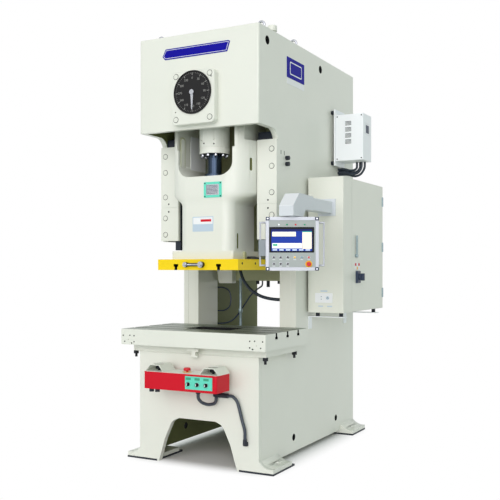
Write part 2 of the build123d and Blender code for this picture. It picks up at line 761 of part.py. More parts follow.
def dial_pointer():
    """Tapered pointer on its hub, with the spindle that carries the pinion behind the crown front."""
    back = -DIAL_PLATE_THICKNESS - DIAL_THICKNESS + DIAL_RECESS - POINTER_GAP
    front = back - POINTER_THICKNESS
    root, tip = DIAL_HEIGHT - POINTER_HUB / 2, DIAL_HEIGHT - POINTER_LENGTH
    needle = outline([(-POINTER_ROOT, root), (POINTER_ROOT, root), (POINTER_TIP, tip), (-POINTER_TIP, tip)])
    pointer = front_prism(needle, (front, back))
    pointer += bar_back(0, (front - POINTER_THICKNESS, back), DIAL_HEIGHT, POINTER_HUB)
    pointer += bar_back(0, (back, PINION_DEPTHS[1]), DIAL_HEIGHT, SPINDLE_RADIUS)
    return pointer + front_prism(Pos(0, DIAL_HEIGHT) * pinion_face(), PINION_DEPTHS)


def tooth():
    """Tooth that points along +X across the pitch line at zero, slimmer than half the pitch."""
    root, tip = TOOTH_ROOT / 2, TOOTH_TIP / 2
    return outline([(-TOOTH_FALL, -root), (TOOTH_RISE, -tip), (TOOTH_RISE, tip), (-TOOTH_FALL, root)])


def pinion_face():
    """Section of the pinion, with a gap between two teeth on its left, where a rack tooth stands."""
    face = Circle(PITCH_RADIUS - TOOTH_FALL + TOOTH_SEAT)
    for number in range(PINION_TEETH):
        face += Rot(0, 0, 360 * number / PINION_TEETH) * Pos(PITCH_RADIUS, 0) * tooth()
    return Rot(0, 0, 180 + 180 / PINION_TEETH) * face


def indicator_rack():
    """Toothed bar on the slide's left arm, in front of the cylinder beam, that turns the dial's pinion."""
    line = -PITCH_RADIUS - TOOTH_FALL
    low, high = RACK_BOTTOM, RACK_BOTTOM + RACK_FOOT
    start, end = RACK_BLOCK
    points = [(line - RACK_BACK, RACK_TOP), (line - RACK_BACK, high), (-end, high), (-end, low), (line, low)]
    for number in range(int((STROKE + 5 * TOOTH_PITCH) / TOOTH_PITCH)):
        height = DIAL_HEIGHT - STROKE - 2 * TOOTH_PITCH + number * TOOTH_PITCH
        points += [(line, height - TOOTH_ROOT / 2), (line + TOOTH_FALL + TOOTH_RISE, height - TOOTH_TIP / 2),
                   (line + TOOTH_FALL + TOOTH_RISE, height + TOOTH_TIP / 2), (line, height + TOOTH_ROOT / 2)]
    bar = front_prism(outline(points + [(line, RACK_TOP)]), RACK_DEPTHS)
    block = slab((-end, -start), (RACK_DEPTHS[1], AXIS_DEPTH), (low, high))
    return bar + block - plan_prism(rounded_plan(SLIDE_HALF, SLIDE_DEPTHS, SLIDE_CORNER), (low, high))


def cylinder_beam():
    """Cross beam between the side plates that carries the cylinder."""
    beam = slab((-INNER, INNER), BEAM_DEPTHS, (BEAM_BOTTOM, BEAM_BOTTOM + BEAM_THICKNESS))
    return beam - post(0, AXIS_DEPTH, (BEAM_BOTTOM, BEAM_BOTTOM + BEAM_THICKNESS), CYLINDER_RADIUS)


def cylinder_barrel():
    """Outside of the cylinder's barrel, above the gland."""
    return post(0, AXIS_DEPTH, (CYLINDER_BOTTOM + GLAND_HEIGHT, CYLINDER_TOP), CYLINDER_RADIUS)


def cylinder():
    """Cylinder barrel with its mounting flange, closed at the top."""
    base = CYLINDER_BOTTOM + GLAND_HEIGHT
    beam_top = BEAM_BOTTOM + BEAM_THICKNESS
    barrel = cylinder_barrel() + post(0, AXIS_DEPTH, (beam_top, beam_top + FLANGE_THICKNESS), FLANGE_RADIUS)
    barrel -= post(0, AXIS_DEPTH, (base, CYLINDER_TOP - HEAD_THICKNESS), BORE_RADIUS)
    front, height = AXIS_DEPTH - CYLINDER_RADIUS, CYLINDER_BOTTOM + SET_SCREW_RISE
    for side in SIDES.values():
        barrel -= bar_back(side * SET_SCREW_X, (front, front + SET_SCREW_DEPTH), height, SET_SCREW_RADIUS)
    return barrel


def cylinder_gland():
    """Ring that closes the bottom of the cylinder round the rod."""
    heights = (CYLINDER_BOTTOM, CYLINDER_BOTTOM + GLAND_HEIGHT)
    ring = post(0, AXIS_DEPTH, heights, CYLINDER_RADIUS)
    ring = fillet(ring.edges().group_by(Axis.Z)[0], GLAND_EDGE)
    return ring - post(0, AXIS_DEPTH, heights, ROD_RADIUS + ROD_FIT)


def gland_bolts():
    """Ring of bolt heads under the gland."""
    bolts = []
    for number in range(GLAND_BOLTS):
        angle = math.radians((number + 0.5) * 360 / GLAND_BOLTS)
        x, depth = GLAND_BOLT_CIRCLE * math.cos(angle), AXIS_DEPTH + GLAND_BOLT_CIRCLE * math.sin(angle)
        head = post(x, depth, (CYLINDER_BOTTOM - GLAND_BOLT_HEAD, CYLINDER_BOTTOM), GLAND_BOLT_RADIUS)
        bolts.append(chamfer(head.edges().group_by(Axis.Z)[0], BOLT_EDGE))
    return bolts


def piston_rod():
    """Rod with its foot flange on the slide and the piston in the cylinder."""
    rod = post(0, AXIS_DEPTH, (WINDOW_BOTTOM, PISTON_BOTTOM + PISTON_HEIGHT), ROD_RADIUS)
    rod += post(0, AXIS_DEPTH, (WINDOW_BOTTOM, WINDOW_BOTTOM + ROD_FLANGE), ROD_FLANGE_RADIUS)
    rod += post(0, AXIS_DEPTH, (PISTON_BOTTOM, PISTON_BOTTOM + PISTON_HEIGHT), BORE_RADIUS - PISTON_CLEARANCE)
    return rod


def rounded_plan(half, depths, corner):
    """Plan of a slide section whose two front corners are rounded."""
    front, back = depths
    return outline([(-half, front), (half, front), (half, back), (-half, back)], {0: corner, 1: corner})


def slide_body():
    """Cast slide: broad guided head with a window, a curved neck, a narrower stem and a foot flange."""
    head = rounded_plan(SLIDE_HALF, SLIDE_DEPTHS, SLIDE_CORNER)
    stem = rounded_plan(STEM_HALF, STEM_DEPTHS, STEM_CORNER)
    foot = rounded_plan(SLIDE_FOOT_HALF, SLIDE_FOOT_DEPTHS, EDGE_RADIUS)
    body = plan_prism(head, (NECK_TOP, SLIDE_SHOULDER))
    shoulder = slab((-SHOULDER_HALF, SHOULDER_HALF), SLIDE_DEPTHS, (SLIDE_SHOULDER, ARM_TOP))
    body += plan_prism(head, (SLIDE_SHOULDER, ARM_TOP)) & shoulder
    body += slide_neck() + plan_prism(stem, (SLIDE_FOOT_TOP, NECK_BOTTOM))
    body += plan_prism(foot, (SLIDE_PLATE_TOP, SLIDE_FOOT_TOP))
    body -= front_prism(window_face(), SLIDE_DEPTHS)
    for side in SIDES.values():
        tongue = (side * SLIDE_HALF, side * (SLIDE_HALF + WAY_REACH - RUNNING_GAP))
        body += slab(tongue, WAY_DEPTHS, (WAY_BOTTOM, SLIDE_SHOULDER))
        for slot, half in ((HEAD_SLOT, SLIDE_HALF), (STEM_SLOT, STEM_HALF)):
            body -= upright_slot(slot, (side * (half - SIDE_SLOT_DEPTH), side * half))
    return body


def upright_slot(slot, xs):
    """Rounded slot that goes in from the side, given as depth, height, length and width."""
    depth, height, length, width = slot
    return side_prism(Pos(depth, height) * Rot(0, 0, 90) * SlotOverall(length, width), xs)


def slide_neck():
    """S-shaped transition from the stem out to the head."""
    sections = []
    for share in (0, 0.25, 0.5, 0.75, 1):
        ease = 0.5 - 0.5 * math.cos(math.pi * share)
        half = STEM_HALF + (SLIDE_HALF - STEM_HALF) * ease
        front = STEM_DEPTHS[0] + (SLIDE_DEPTHS[0] - STEM_DEPTHS[0]) * ease
        back = STEM_DEPTHS[1] + (SLIDE_DEPTHS[1] - STEM_DEPTHS[1]) * ease
        corner = STEM_CORNER + (SLIDE_CORNER - STEM_CORNER) * ease
        height = NECK_BOTTOM + (NECK_TOP - NECK_BOTTOM) * share
        sections.append(Pos(0, FRONT, height) * rounded_plan(half, (front, back), corner))
    return loft(sections)


def window_face():
    """Outline of the window in the slide's head, open at the top."""
    step_half = WINDOW_HALF + WINDOW_STEP
    return outline(
        [(-WINDOW_HALF, WINDOW_BOTTOM), (WINDOW_HALF, WINDOW_BOTTOM), (WINDOW_HALF, WINDOW_STEP_HEIGHT),
         (step_half, WINDOW_STEP_HEIGHT), (step_half, ARM_TOP), (-step_half, ARM_TOP),
         (-step_half, WINDOW_STEP_HEIGHT), (-WINDOW_HALF, WINDOW_STEP_HEIGHT)],
        {0: WINDOW_RADIUS, 1: WINDOW_RADIUS})


def slide_plate():
    """Yellow die plate under the slide with two T-slots from front to back."""
    plate = slab((-SLIDE_HALF, SLIDE_HALF), SLIDE_PLATE_DEPTHS, (SLIDE_PLATE_BOTTOM, SLIDE_PLATE_TOP))
    slot = mirror(tee(SLOT_NECK, SLOT_HEAD, SLOT_DEPTH, SLOT_HEAD_HEIGHT), Plane.XZ)
    for side in SIDES.values():
        plate -= front_prism(Pos(side * SLOT_PITCH, SLIDE_PLATE_BOTTOM) * slot, SLIDE_PLATE_DEPTHS)
        for depth in SIDE_TAP_DEPTHS:
            plate -= bar_across((side * (SLIDE_HALF - PILOT_DEPTH), side * SLIDE_HALF), depth,
                                SLIDE_PLATE_BOTTOM + SIDE_TAP_RISE, SIDE_TAP_RADIUS)
    return plate


def shank_clamp():
    """Clamp bar for a die shank with its two bolts, on the front of the die plate."""
    height = (SLIDE_PLATE_BOTTOM + SLIDE_PLATE_TOP) / 2
    clamp = bar_across(CLAMP_XS, CLAMP_DEPTH, height, CLAMP_RADIUS)
    for x, radius in CLAMP_BOLTS:
        clamp += bar_back(x, (-CLAMP_REACH, 0), height, radius)
        head = (-CLAMP_REACH - CLAMP_HEAD, -CLAMP_REACH)
        clamp += front_prism(Pos(x, height) * RegularPolygon(radius * 0.7, 6), head)
    return clamp


def lifting_eyes():
    """Four eye bolts on the roof."""
    eyes = []
    for side in SIDES.values():
        for depth in EYE_DEPTHS:
            top = FRAME_HEIGHT + EYE_COLLAR_HEIGHT
            collar = post(side * EYE_X, depth, (FRAME_HEIGHT, top), EYE_COLLAR, EYE_COLLAR * 0.6)
            centre = Pos(side * EYE_X, FRONT + depth, top + EYE_RING - EYE_WIRE / 4)
            eyes.append(collar + centre * Rot(90, 0, 0) * Torus(EYE_RING, EYE_WIRE))
    return eyes


def roof_hatch():
    """Low folded cover over the opening in the roof."""
    cover = slab(HATCH_X, HATCH_DEPTHS, (FRAME_HEIGHT, FRAME_HEIGHT + HATCH_HEIGHT))
    cover = chamfer(cover.faces().sort_by(Axis.Z)[-1].edges(), HATCH_EDGE)
    (left, right), (front, back), sheet = HATCH_X, HATCH_DEPTHS, HATCH_SHEET
    return cover - slab((left + sheet, right - sheet), (front + sheet, back - sheet),
                        (FRAME_HEIGHT, FRAME_HEIGHT + HATCH_HEIGHT - 2 * sheet))


def breather():
    """Breather cap on the hatch."""
    base = FRAME_HEIGHT + HATCH_HEIGHT
    height, radius = BREATHER_NECK
    x, depth = BREATHER
    cap = post(x, depth, (base + height, base + BREATHER_HEIGHT), BREATHER_RADIUS)
    cap = fillet(cap.edges().group_by(Axis.Z)[-1], HATCH_EDGE)
    return cap + post(x, depth, (base, base + height), radius)


def oil_tank():
    """Welded oil tank that hangs under the roof between the side plates."""
    top = FRAME_HEIGHT - ROOF_PLATE
    half, (front, back), wall = INNER - TANK_WALL, TANK_DEPTHS, TANK_WALL
    tank = slab((-INNER, INNER), TANK_DEPTHS, (TANK_BOTTOM, top))
    return tank - slab((-half, half), (front + wall, back - wall), (TANK_BOTTOM + wall, top - wall))


def pump():
    """Pump with its flange, bolted to the back of the cross plate."""
    start = COLUMN_BACK + CROSS_PLATE
    body = bar_back(PUMP_X, (start, start + PUMP_LENGTH), PUMP_HEIGHT, PUMP_RADIUS)
    body += bar_back(PUMP_X, (start, start + PUMP_FLANGE[0]), PUMP_HEIGHT, PUMP_FLANGE[1])
    port_height, port_radius = PUMP_PORT
    return body + post(PUMP_X, start + PUMP_LENGTH / 2, (PUMP_HEIGHT, PUMP_HEIGHT + port_height), port_radius)


def servo_motor():
    """Finned servo motor behind the pump."""
    start = COLUMN_BACK + CROSS_PLATE + PUMP_LENGTH
    body = bar_back(PUMP_X, (start, start + MOTOR_LENGTH), PUMP_HEIGHT, MOTOR_RADIUS)
    for number in range(MOTOR_FINS):
        angle = number * 360 / MOTOR_FINS
        gap = Pos(MOTOR_RADIUS, 0) * Rectangle(2 * FIN_DEPTH, FIN_GAP)
        groove = Pos(PUMP_X, PUMP_HEIGHT) * Rot(0, 0, angle) * gap
        body -= front_prism(groove, (start + FIN_ENDS[0], start + MOTOR_LENGTH - FIN_ENDS[1]))
    width, (near, far), rise = TERMINAL_BOX
    return body + slab((PUMP_X - width / 2, PUMP_X + width / 2), (start + near, start + far),
                       (PUMP_HEIGHT + MOTOR_RADIUS - 1.5 * FIN_DEPTH, PUMP_HEIGHT + MOTOR_RADIUS + rise))


def oil_pipes():
    """Suction pipe from the tank to the pump, and pressure pipe over the beam to the top of the cylinder."""
    (near, far), (low, high) = SUCTION_DEPTHS, SUCTION_HEIGHTS
    suction = [(PUMP_X, near, PUMP_HEIGHT + PUMP_PORT[0]), (PUMP_X, near, low), (PUMP_X, far, high),
               (PUMP_X, far, TANK_BOTTOM)]
    pressure = tube([(PIPE_X, PRESSURE_DEPTH, PUMP_HEIGHT), (PIPE_X, PRESSURE_DEPTH, PRESSURE_HEIGHT),
                     (PIPE_X, AXIS_DEPTH, PRESSURE_HEIGHT)], PIPE_RADIUS)
    return [tube(suction, PIPE_RADIUS), pressure - pump() - cylinder_barrel()]


def cabinet_shell():
    """Sheet-metal cabinet, open on its outer side behind the front strip."""
    x0, x1 = CABINET_X
    d0, d1 = CABINET_DEPTHS
    z0, z1 = CABINET_HEIGHTS
    shell = slab(CABINET_X, CABINET_DEPTHS, CABINET_HEIGHTS)
    seat = x1 - DOOR_THICKNESS
    shell -= slab((x0 + SHEET, x1 - SHEET), (d0 + SHEET, d1 - SHEET), (z0 + SHEET, z1 - SHEET))
    shell -= slab((seat - SHEET, x1), (DOOR_FRONT, d1), CABINET_HEIGHTS)
    shell += slab((seat - SHEET, seat), (d1 - LIP, d1), CABINET_HEIGHTS)
    for low, high in ((z0, z0 + LIP), (z1 - LIP, z1)):
        shell += slab((seat - SHEET, seat), (DOOR_FRONT, d1), (low, high))
    return shell + slab((seat - SHEET, x1), (DOOR_FRONT - SHEET, DOOR_FRONT), CABINET_HEIGHTS)


def cabinet_door():
    """Folded door on the cabinet's outer side."""
    x1 = CABINET_X[1]
    depths = (DOOR_FRONT + DOOR_GAP, CABINET_DEPTHS[1] - DOOR_GAP / 2)
    heights = (CABINET_HEIGHTS[0] + DOOR_GAP, CABINET_HEIGHTS[1] - DOOR_GAP)
    inner = x1 - DOOR_THICKNESS + RUNNING_GAP
    door = slab((inner, x1), depths, heights)
    door = chamfer(door.faces().sort_by(Axis.X)[-1].edges(), SHEET / 2)
    return door - slab((inner, x1 - SHEET), (depths[0] + SHEET, depths[1] - SHEET),
                       (heights[0] + SHEET, heights[1] - SHEET))


def cabinet_brackets():
    """White angle brackets on the side plate below the cabinet."""
    top = CABINET_HEIGHTS[0] - 2 * MOUNT_RADIUS
    brackets = []
    for depth in BRACKET_DEPTHS:
        depths = (depth - BRACKET_WIDTH / 2, depth + BRACKET_WIDTH / 2)
        angle = slab((HALF, CABINET_X[1] - BRACKET_SHORT), depths, (top - BRACKET_THICKNESS, top))
        angle += slab((HALF, HALF + BRACKET_THICKNESS), depths, (top - BRACKET_DROP, top))
        brackets.append(angle)
    return brackets


def rubber_mounts():
    """Black rubber mounts under the cabinet and behind the drive box."""
    top = CABINET_HEIGHTS[0]
    mounts = [post(x, depth, (top - 2 * MOUNT_RADIUS, top), MOUNT_RADIUS)
              for x in MOUNT_XS for depth in BRACKET_DEPTHS]
    drive_plate = DRIVE_X[0] - DRIVE_PLATE
    mounts += [bar_across((HALF, drive_plate), depth, height, ISOLATOR_RADIUS)
               for depth in ISOLATOR_DEPTHS for height in ISOLATOR_HEIGHTS]
    return mounts


def door_handle():
    """Swing handle of the door, upright when locked."""
    face = CABINET_X[1]
    low, high = HANDLE_HEIGHTS
    rise, radius, reach = HANDLE_PIVOT
    lever = slab((face + HANDLE_REACH[0], face + HANDLE_REACH[1]),
                 (HANDLE_DEPTH - HANDLE_WIDTH / 2, HANDLE_DEPTH + HANDLE_WIDTH / 2), (low + rise / 2, high))
    lever = fillet(lever.edges().filter_by(Axis.X), HANDLE_WIDTH * 0.45)
    return lever + bar_across((face + KNOB_GAP, face + reach), HANDLE_DEPTH, low + rise, radius)


def breaker_base():
    """Square base of the main switch."""
    face = CABINET_X[1]
    half_width, half_height = BREAKER_HALF
    base = slab((face, face + BREAKER_THICKNESS), (BREAKER_DEPTH - half_width, BREAKER_DEPTH + half_width),
                (BREAKER_HEIGHT - half_height, BREAKER_HEIGHT + half_height))
    return chamfer(base.faces().sort_by(Axis.X)[-1].edges(), SHEET)


def breaker_knob():
    """Turning grip of the main switch."""
    face = CABINET_X[1] + BREAKER_THICKNESS
    radius, reach = BREAKER_KNOB
    half_width, half_height, grip_reach = BREAKER_GRIP
    knob = bar_across((face + KNOB_GAP, face + reach), BREAKER_DEPTH, BREAKER_HEIGHT, radius)
    grip = slab((face + reach, face + grip_reach), (BREAKER_DEPTH - half_width, BREAKER_DEPTH + half_width),
                (BREAKER_HEIGHT - half_height, BREAKER_HEIGHT + half_height))
    return knob + fillet(grip.edges().filter_by(Axis.X), half_width / 2)


def panel_arm():
    """Rectangular arm from its flange on the cabinet."""
    half = ARM_WIDTH / 2
    arm = slab((ARM_X - half, ARM_X + half), (ELBOW_DEPTHS[1], CABINET_DEPTHS[0]), ARM_HEIGHTS)
    arm = fillet(arm.edges().filter_by(Axis.Y), ARM_EDGE)
    centre = sum(ARM_HEIGHTS) / 2
    margin, thickness, half_height = ARM_FLANGE
    half_width, wall = half + margin, CABINET_DEPTHS[0]
    return arm + slab((ARM_X - half_width, ARM_X + half_width), (wall - thickness, wall),
                      (centre - half_height, centre + half_height))


def panel_elbow():
    """Elbow with a sloping front over the swivel."""
    (front, back), (low, high) = ELBOW_DEPTHS, ELBOW_HEIGHTS
    knee = front + ELBOW_KNEE
    run, rise = ELBOW_RISE
    slope_run, slope_low = ELBOW_SLOPE
    points = [(front, low), (knee, low), (knee + run, low + rise), (back, low + rise),
              (back, high - ELBOW_PROUD), (front + slope_run, high), (front, low + slope_low)]
    face = outline(points, {2: run / 2, 5: run / 4, 6: run / 5})
    half = ARM_WIDTH / 2 + ELBOW_PROUD
    return side_prism(face, (ARM_X - half, ARM_X + half))


def on_panel(part):
    """Moves a part drawn square to the machine, with the swivel at x and depth zero, to its place."""
    return Pos(ARM_X, FRONT + SWIVEL_DEPTH, 0) * Rot(0, 0, SWIVEL_ANGLE) * Pos(0, -FRONT, 0) * part


def panel_housing():
    """Operator panel: housing with rails, a recessed screen, keys, lamps and a port box on its left."""
    half = PANEL_WIDTH / 2
    front, back = -PANEL_DEPTH / 2, PANEL_DEPTH / 2
    low, high = PANEL_HEIGHTS
    rail_half = half - CORNER_CAP
    body = slab((-half, half), (front, back), (low + PANEL_STEP, high - PANEL_STEP))
    body = fillet(body.edges().filter_by(Axis.Y), PANEL_WALL)
    for rail_low in (low, high - RAIL_HEIGHT):
        body += slab((-rail_half, rail_half), (front - RAIL_PROUD, back), (rail_low, rail_low + RAIL_HEIGHT))
    body -= slab((-half + PANEL_WALL, half - PANEL_WALL), (front + PANEL_WALL, back - PANEL_WALL),
                 (low + RAIL_HEIGHT, high - RAIL_HEIGHT))
    body -= slab(SCREEN_X, (front, front + SCREEN_RECESS), SCREEN_HEIGHTS)
    for row in KEY_ROWS:
        for x in KEY_XS[:3] if row == KEY_ROWS[1] else KEY_XS:
            body += bar_back(x, (front - KEY_PROUD, front), row, KEY_RADIUS)
    for x in LAMP_XS:
        body += bar_back(x, (front - LAMP_PROUD, front), LAMP_HEIGHT, LAMP_RADIUS)
    body += post(0, 0, (high - PANEL_STEP, ELBOW_HEIGHTS[0] - SWIVEL_GAP), SWIVEL_RADIUS)
    grip = half + GRIP_REACH
    body += slab((-grip - PORT_PROUD, -half), (-PORT_WIDTH / 2, PORT_WIDTH / 2), PORT_HEIGHTS)
    body -= post(-grip, 0, PORT_HEIGHTS, GRIP_RADIUS)
    stop_x, stop_height = PANEL_STOP
    body -= bar_back(stop_x, (front, front + PANEL_WALL), stop_height, PANEL_STOP_STEM + BUTTON_GAP)
    return on_panel(body)


def panel_trim():
    """Dark corner caps and the two round grips at the sides of the panel."""
    half = PANEL_WIDTH / 2
    front = -PANEL_DEPTH / 2
    cap_depths = (front - RAIL_PROUD - CAP_PROUD, front)
    pieces = []
    for side in SIDES.values():
        for low in (PANEL_HEIGHTS[0], PANEL_HEIGHTS[1] - RAIL_HEIGHT):
            cap = slab((side * (half - CORNER_CAP), side * half), cap_depths, (low, low + RAIL_HEIGHT))
            pieces.append(on_panel(fillet(cap.edges().filter_by(Axis.Y), CAP_EDGE)))
        outer = side * (half + GRIP_REACH)
        low, high = GRIP_HEIGHTS
        grip = post(outer, 0, (low, high), GRIP_RADIUS)
        for height in (low + GRIP_RADIUS, high - GRIP_RADIUS):
            grip += bar_across((side * half, outer), 0, height, GRIP_RADIUS)
        pieces.append(on_panel(grip))
    return pieces


def mushroom(stem_radius, stem, cap_radius, cap):
    """Mushroom button that stands up from zero height on a stem."""
    low = (Align.CENTER, Align.CENTER, Align.MIN)
    head = Pos(0, 0, stem[1]) * Cylinder(cap_radius, cap, align=low)
    head = fillet(head.edges().group_by(Axis.Z)[-1], cap * 0.45)
    return Pos(0, 0, stem[0]) * Cylinder(stem_radius, stem[1] - stem[0], align=low) + head


def panel_stop():
    """Emergency stop button of the operator panel."""
    x, height = PANEL_STOP
    button = mushroom(PANEL_STOP_STEM, PANEL_STOP_REACH, PANEL_STOP_RADIUS, PANEL_STOP_CAP)
    return on_panel(Pos(x, FRONT - PANEL_DEPTH / 2, height) * Rot(90, 0, 0) * button)


def drive_box():
    """Drive housing on its mounting plate, with a stepped lid and grooved front vents."""
    box = slab(DRIVE_X, DRIVE_DEPTHS, DRIVE_HEIGHTS)
    box = fillet(upright_edges(box), DRIVE_EDGE)
    (left, right), (front, back), wall = DRIVE_X, DRIVE_DEPTHS, DRIVE_WALL
    box -= slab((left + wall, right - wall), (front + wall, back - wall),
                (DRIVE_HEIGHTS[0] + wall, DRIVE_HEIGHTS[1] - wall))
    box += slab((left - DRIVE_PLATE, left), (front - DRIVE_MARGIN, back + DRIVE_MARGIN), DRIVE_PLATE_HEIGHTS)
    for height in FRONT_VENT_HEIGHTS:
        box -= slab(FRONT_VENT_X, (front, front + VENT_GROOVE), (height, height + FRONT_VENT_WIDTH))
    for depth in SIDE_VENT_DEPTHS:
        box -= slab((right - VENT_GROOVE, right), (depth, depth + SIDE_VENT_WIDTH), SIDE_VENT_HEIGHTS)
    return box


def tube(route, radius):
    """Round hose along straight runs joined by arcs as large as the runs allow."""
    points = [Vector(x, FRONT + depth, z) for x, depth, z in route]
    radii = []
    for before, corner, after in zip(points, points[1:], points[2:]):
        arriving, leaving = corner - before, after - corner
        half_turn = math.radians(arriving.get_angle(leaving)) / 2
        radii.append(0.45 * min(arriving.length, leaving.length) / math.tan(half_turn))
    path = FilletPolyline(*points, radius=radii)
    print("arc radii", [round(value) for value in radii], "for a radius of", radius)
    start = Plane(origin=points[0], z_dir=points[1] - points[0])
    return sweep(start * Circle(radius), path=path)


def drive_cables():
    """Bundle of cables from under the drive box round to the side plate."""
    cables = []
    for number in range(CABLE_COUNT):
        shift, nearer = CABLE_PITCH * number, CABLE_STAGGER * (number % 2)
        route = [(CABLE_DROP[0][0] - shift, CABLE_DROP[0][1] - nearer, DRIVE_HEIGHTS[0])]
        for (x, depth), drop, spread, lift in zip(CABLE_DROP, CABLE_LEVELS, CABLE_SPREAD, CABLE_LIFT):
            route.append((x - spread * shift, depth - nearer, DRIVE_HEIGHTS[0] - drop + lift * shift))
        cables.append(tube(route + [(HALF, *route[-1][1:])], CABLE_RADIUS))
    return cables


def control_box():
    """Red two-hand control box."""
    box = slab(BOX_X, BOX_DEPTHS, BOX_HEIGHTS)
    box = fillet(upright_edges(box), BOX_RADIUS)
    (left, right), (front, back), (low, high), wall = BOX_X, BOX_DEPTHS, BOX_HEIGHTS, BOX_WALL
    box -= slab((left + wall, right - wall), (front + wall, back - wall), (low + wall, high - wall))
    for x in button_xs():
        box -= post(x, PALM_DEPTH, (high - 2 * wall, high), STEM_RADIUS + BUTTON_GAP)
    for x in SWITCH_XS:
        box -= bar_back(x, (front, front + 2 * wall), SWITCH_HEIGHT, SWITCH_STEM + BUTTON_GAP)
    return box


def button_xs():
    """Places of the left palm button, the stop button and the right palm button."""
    return -GUARD_X, STOP_X, GUARD_X


def control_top():
    """Cream top of the control box with a folded guard round each palm button."""
    base = BOX_HEIGHTS[1]
    depths = (BOX_DEPTHS[0] + BOX_WALL, BOX_DEPTHS[1] - BOX_WALL)
    start, wall = PALM_DEPTH - GUARD_LENGTH, GUARD_WALL
    top = slab((BOX_X[0] + BOX_WALL, BOX_X[1] - BOX_WALL), depths, (base, base + GUARD_SHEET))
    for side in SIDES.values():
        centre = side * GUARD_X
        outer = guard_section(centre, GUARD_FOOT, GUARD_CROWN, (base, base + GUARD_HEIGHT))
        inner = guard_section(centre, GUARD_FOOT - 1.6 * wall, GUARD_CROWN - 0.6 * wall,
                              (base + GUARD_SHEET, base + GUARD_HEIGHT - wall))
        hood = front_prism(outer, (start, depths[1])) - front_prism(inner, (start, depths[1] - wall))
        top += hood - post(centre, PALM_DEPTH, (base + GUARD_SHEET, base + GUARD_HEIGHT),
                           PALM_RADIUS + GUARD_OPENING)
    for x in button_xs():
        top -= post(x, PALM_DEPTH, (base, base + GUARD_SHEET), STEM_RADIUS + BUTTON_GAP)
    return top


def guard_section(centre, foot, crown, heights):
    """Section of a guard, broad at its foot and narrow at its crown."""
    base, top = heights
    return Pos(centre, 0) * outline([(-foot, base), (-crown, top), (crown, top), (foot, base)])


def palm_button(x, radius):
    """Mushroom push button on the control box."""
    base = BOX_HEIGHTS[1] + GUARD_SHEET
    button = mushroom(STEM_RADIUS, (-STEM_LENGTH, PALM_TRAVEL + BOX_WALL), radius, PALM_HEIGHT)
    return Pos(x, FRONT + PALM_DEPTH, base) * button


def switch_plate():
    """Green plate for the three selector switches."""
    face = BOX_DEPTHS[0]
    plate = slab(SWITCH_PLATE_X, (face - SWITCH_PLATE, face), SWITCH_PLATE_HEIGHTS)
    for x in SWITCH_XS:
        plate -= bar_back(x, (face - SWITCH_PLATE, face), SWITCH_HEIGHT, SWITCH_STEM + BUTTON_GAP)
    return plate


def selector(x):
    """Selector switch knob with its raised grip."""
    face = BOX_DEPTHS[0] - SWITCH_PLATE
    knob = bar_back(x, (face - SWITCH_KNOB, face - BUTTON_GAP), SWITCH_HEIGHT, SWITCH_RADIUS)
    half, length = SWITCH_GRIP
    knob += slab((x - half, x + half), (face - 2 * SWITCH_KNOB, face - SWITCH_KNOB),
                 (SWITCH_HEIGHT - length, SWITCH_HEIGHT + length))
    return knob + bar_back(x, (face - BUTTON_GAP, face + STEM_LENGTH), SWITCH_HEIGHT, SWITCH_STEM)


def control_hangers():
    """Angle brackets that hang the control box on the bed front."""
    hangers = []
    (low, high), back, rise, sheet = BOX_HEIGHTS, BOX_DEPTHS[1], HANGER_RISE, HANGER_SHEET
    for x in HANGER_XS:
        xs = (x - HANGER_WIDTH / 2, x + HANGER_WIDTH / 2)
        hanger = slab(xs, (back, 0), (low + rise, low + rise + sheet))
        hanger += slab(xs, (-sheet, 0), (low - rise, low + rise + sheet))
        hanger += slab(xs, (back, back + sheet), (low + rise, high - rise))
        hangers.append(hanger)
    return hangers


def cable_glands():
    """Black glands under the control box, on the bed front and on the right side plate."""
    glands = []
    for x, depth in (*BOX_GLANDS, LOOP_ROUTE[0][:2]):
        glands.append(post(x, depth, (BOX_HEIGHTS[0] - GLAND_LENGTH, BOX_HEIGHTS[0]), OUTLET_RADIUS))
    depth, height = HOSE_ROUTE[0][1:]
    foot_start, foot_end, foot_half = OUTLET_FOOT
    outlet = bar_across(OUTLET_X, depth, height, OUTLET_RADIUS)
    outlet += slab((OUTLET_X[0] + foot_start, OUTLET_X[0] + foot_end), (depth, 0),
                   (height - foot_half, height + foot_half))
    glands.append(outlet)
    x, depth, height = HOSE_ROUTE[-1]
    length, radius = BOOT
    boot = post(x, depth, (height - length, height), radius, HOSE_RADIUS + 2)
    boot += slab((x - radius, x + radius), (depth, 0), (height - 1.25 * length, height - length / 2))
    glands.append(boot)
    depth, heights, radius, length = SIDE_GLANDS
    for height in heights:
        glands.append(bar_across((HALF, HALF + length), depth, height, radius))
    top = CROSS_PLATE_BOTTOM
    for x, drop in REAR_GLANDS:
        glands.append(post(x, REAR_CABLE_DEPTH, (top - drop, top), REAR_GLAND_RADIUS))
    return glands


def control_hoses():
    """Hose loop from the control box to its outlet, and the hose on down the bed front."""
    return [tube(LOOP_ROUTE, HOSE_RADIUS), tube(HOSE_ROUTE, HOSE_RADIUS)]


def rear_cables():
    """Thin cables in the throat, from the left side plate to the cross plate and back."""
    return [tube([(x, REAR_CABLE_DEPTH, z) for x, z in route], REAR_CABLE_RADIUS) for route in REAR_ROUTES]


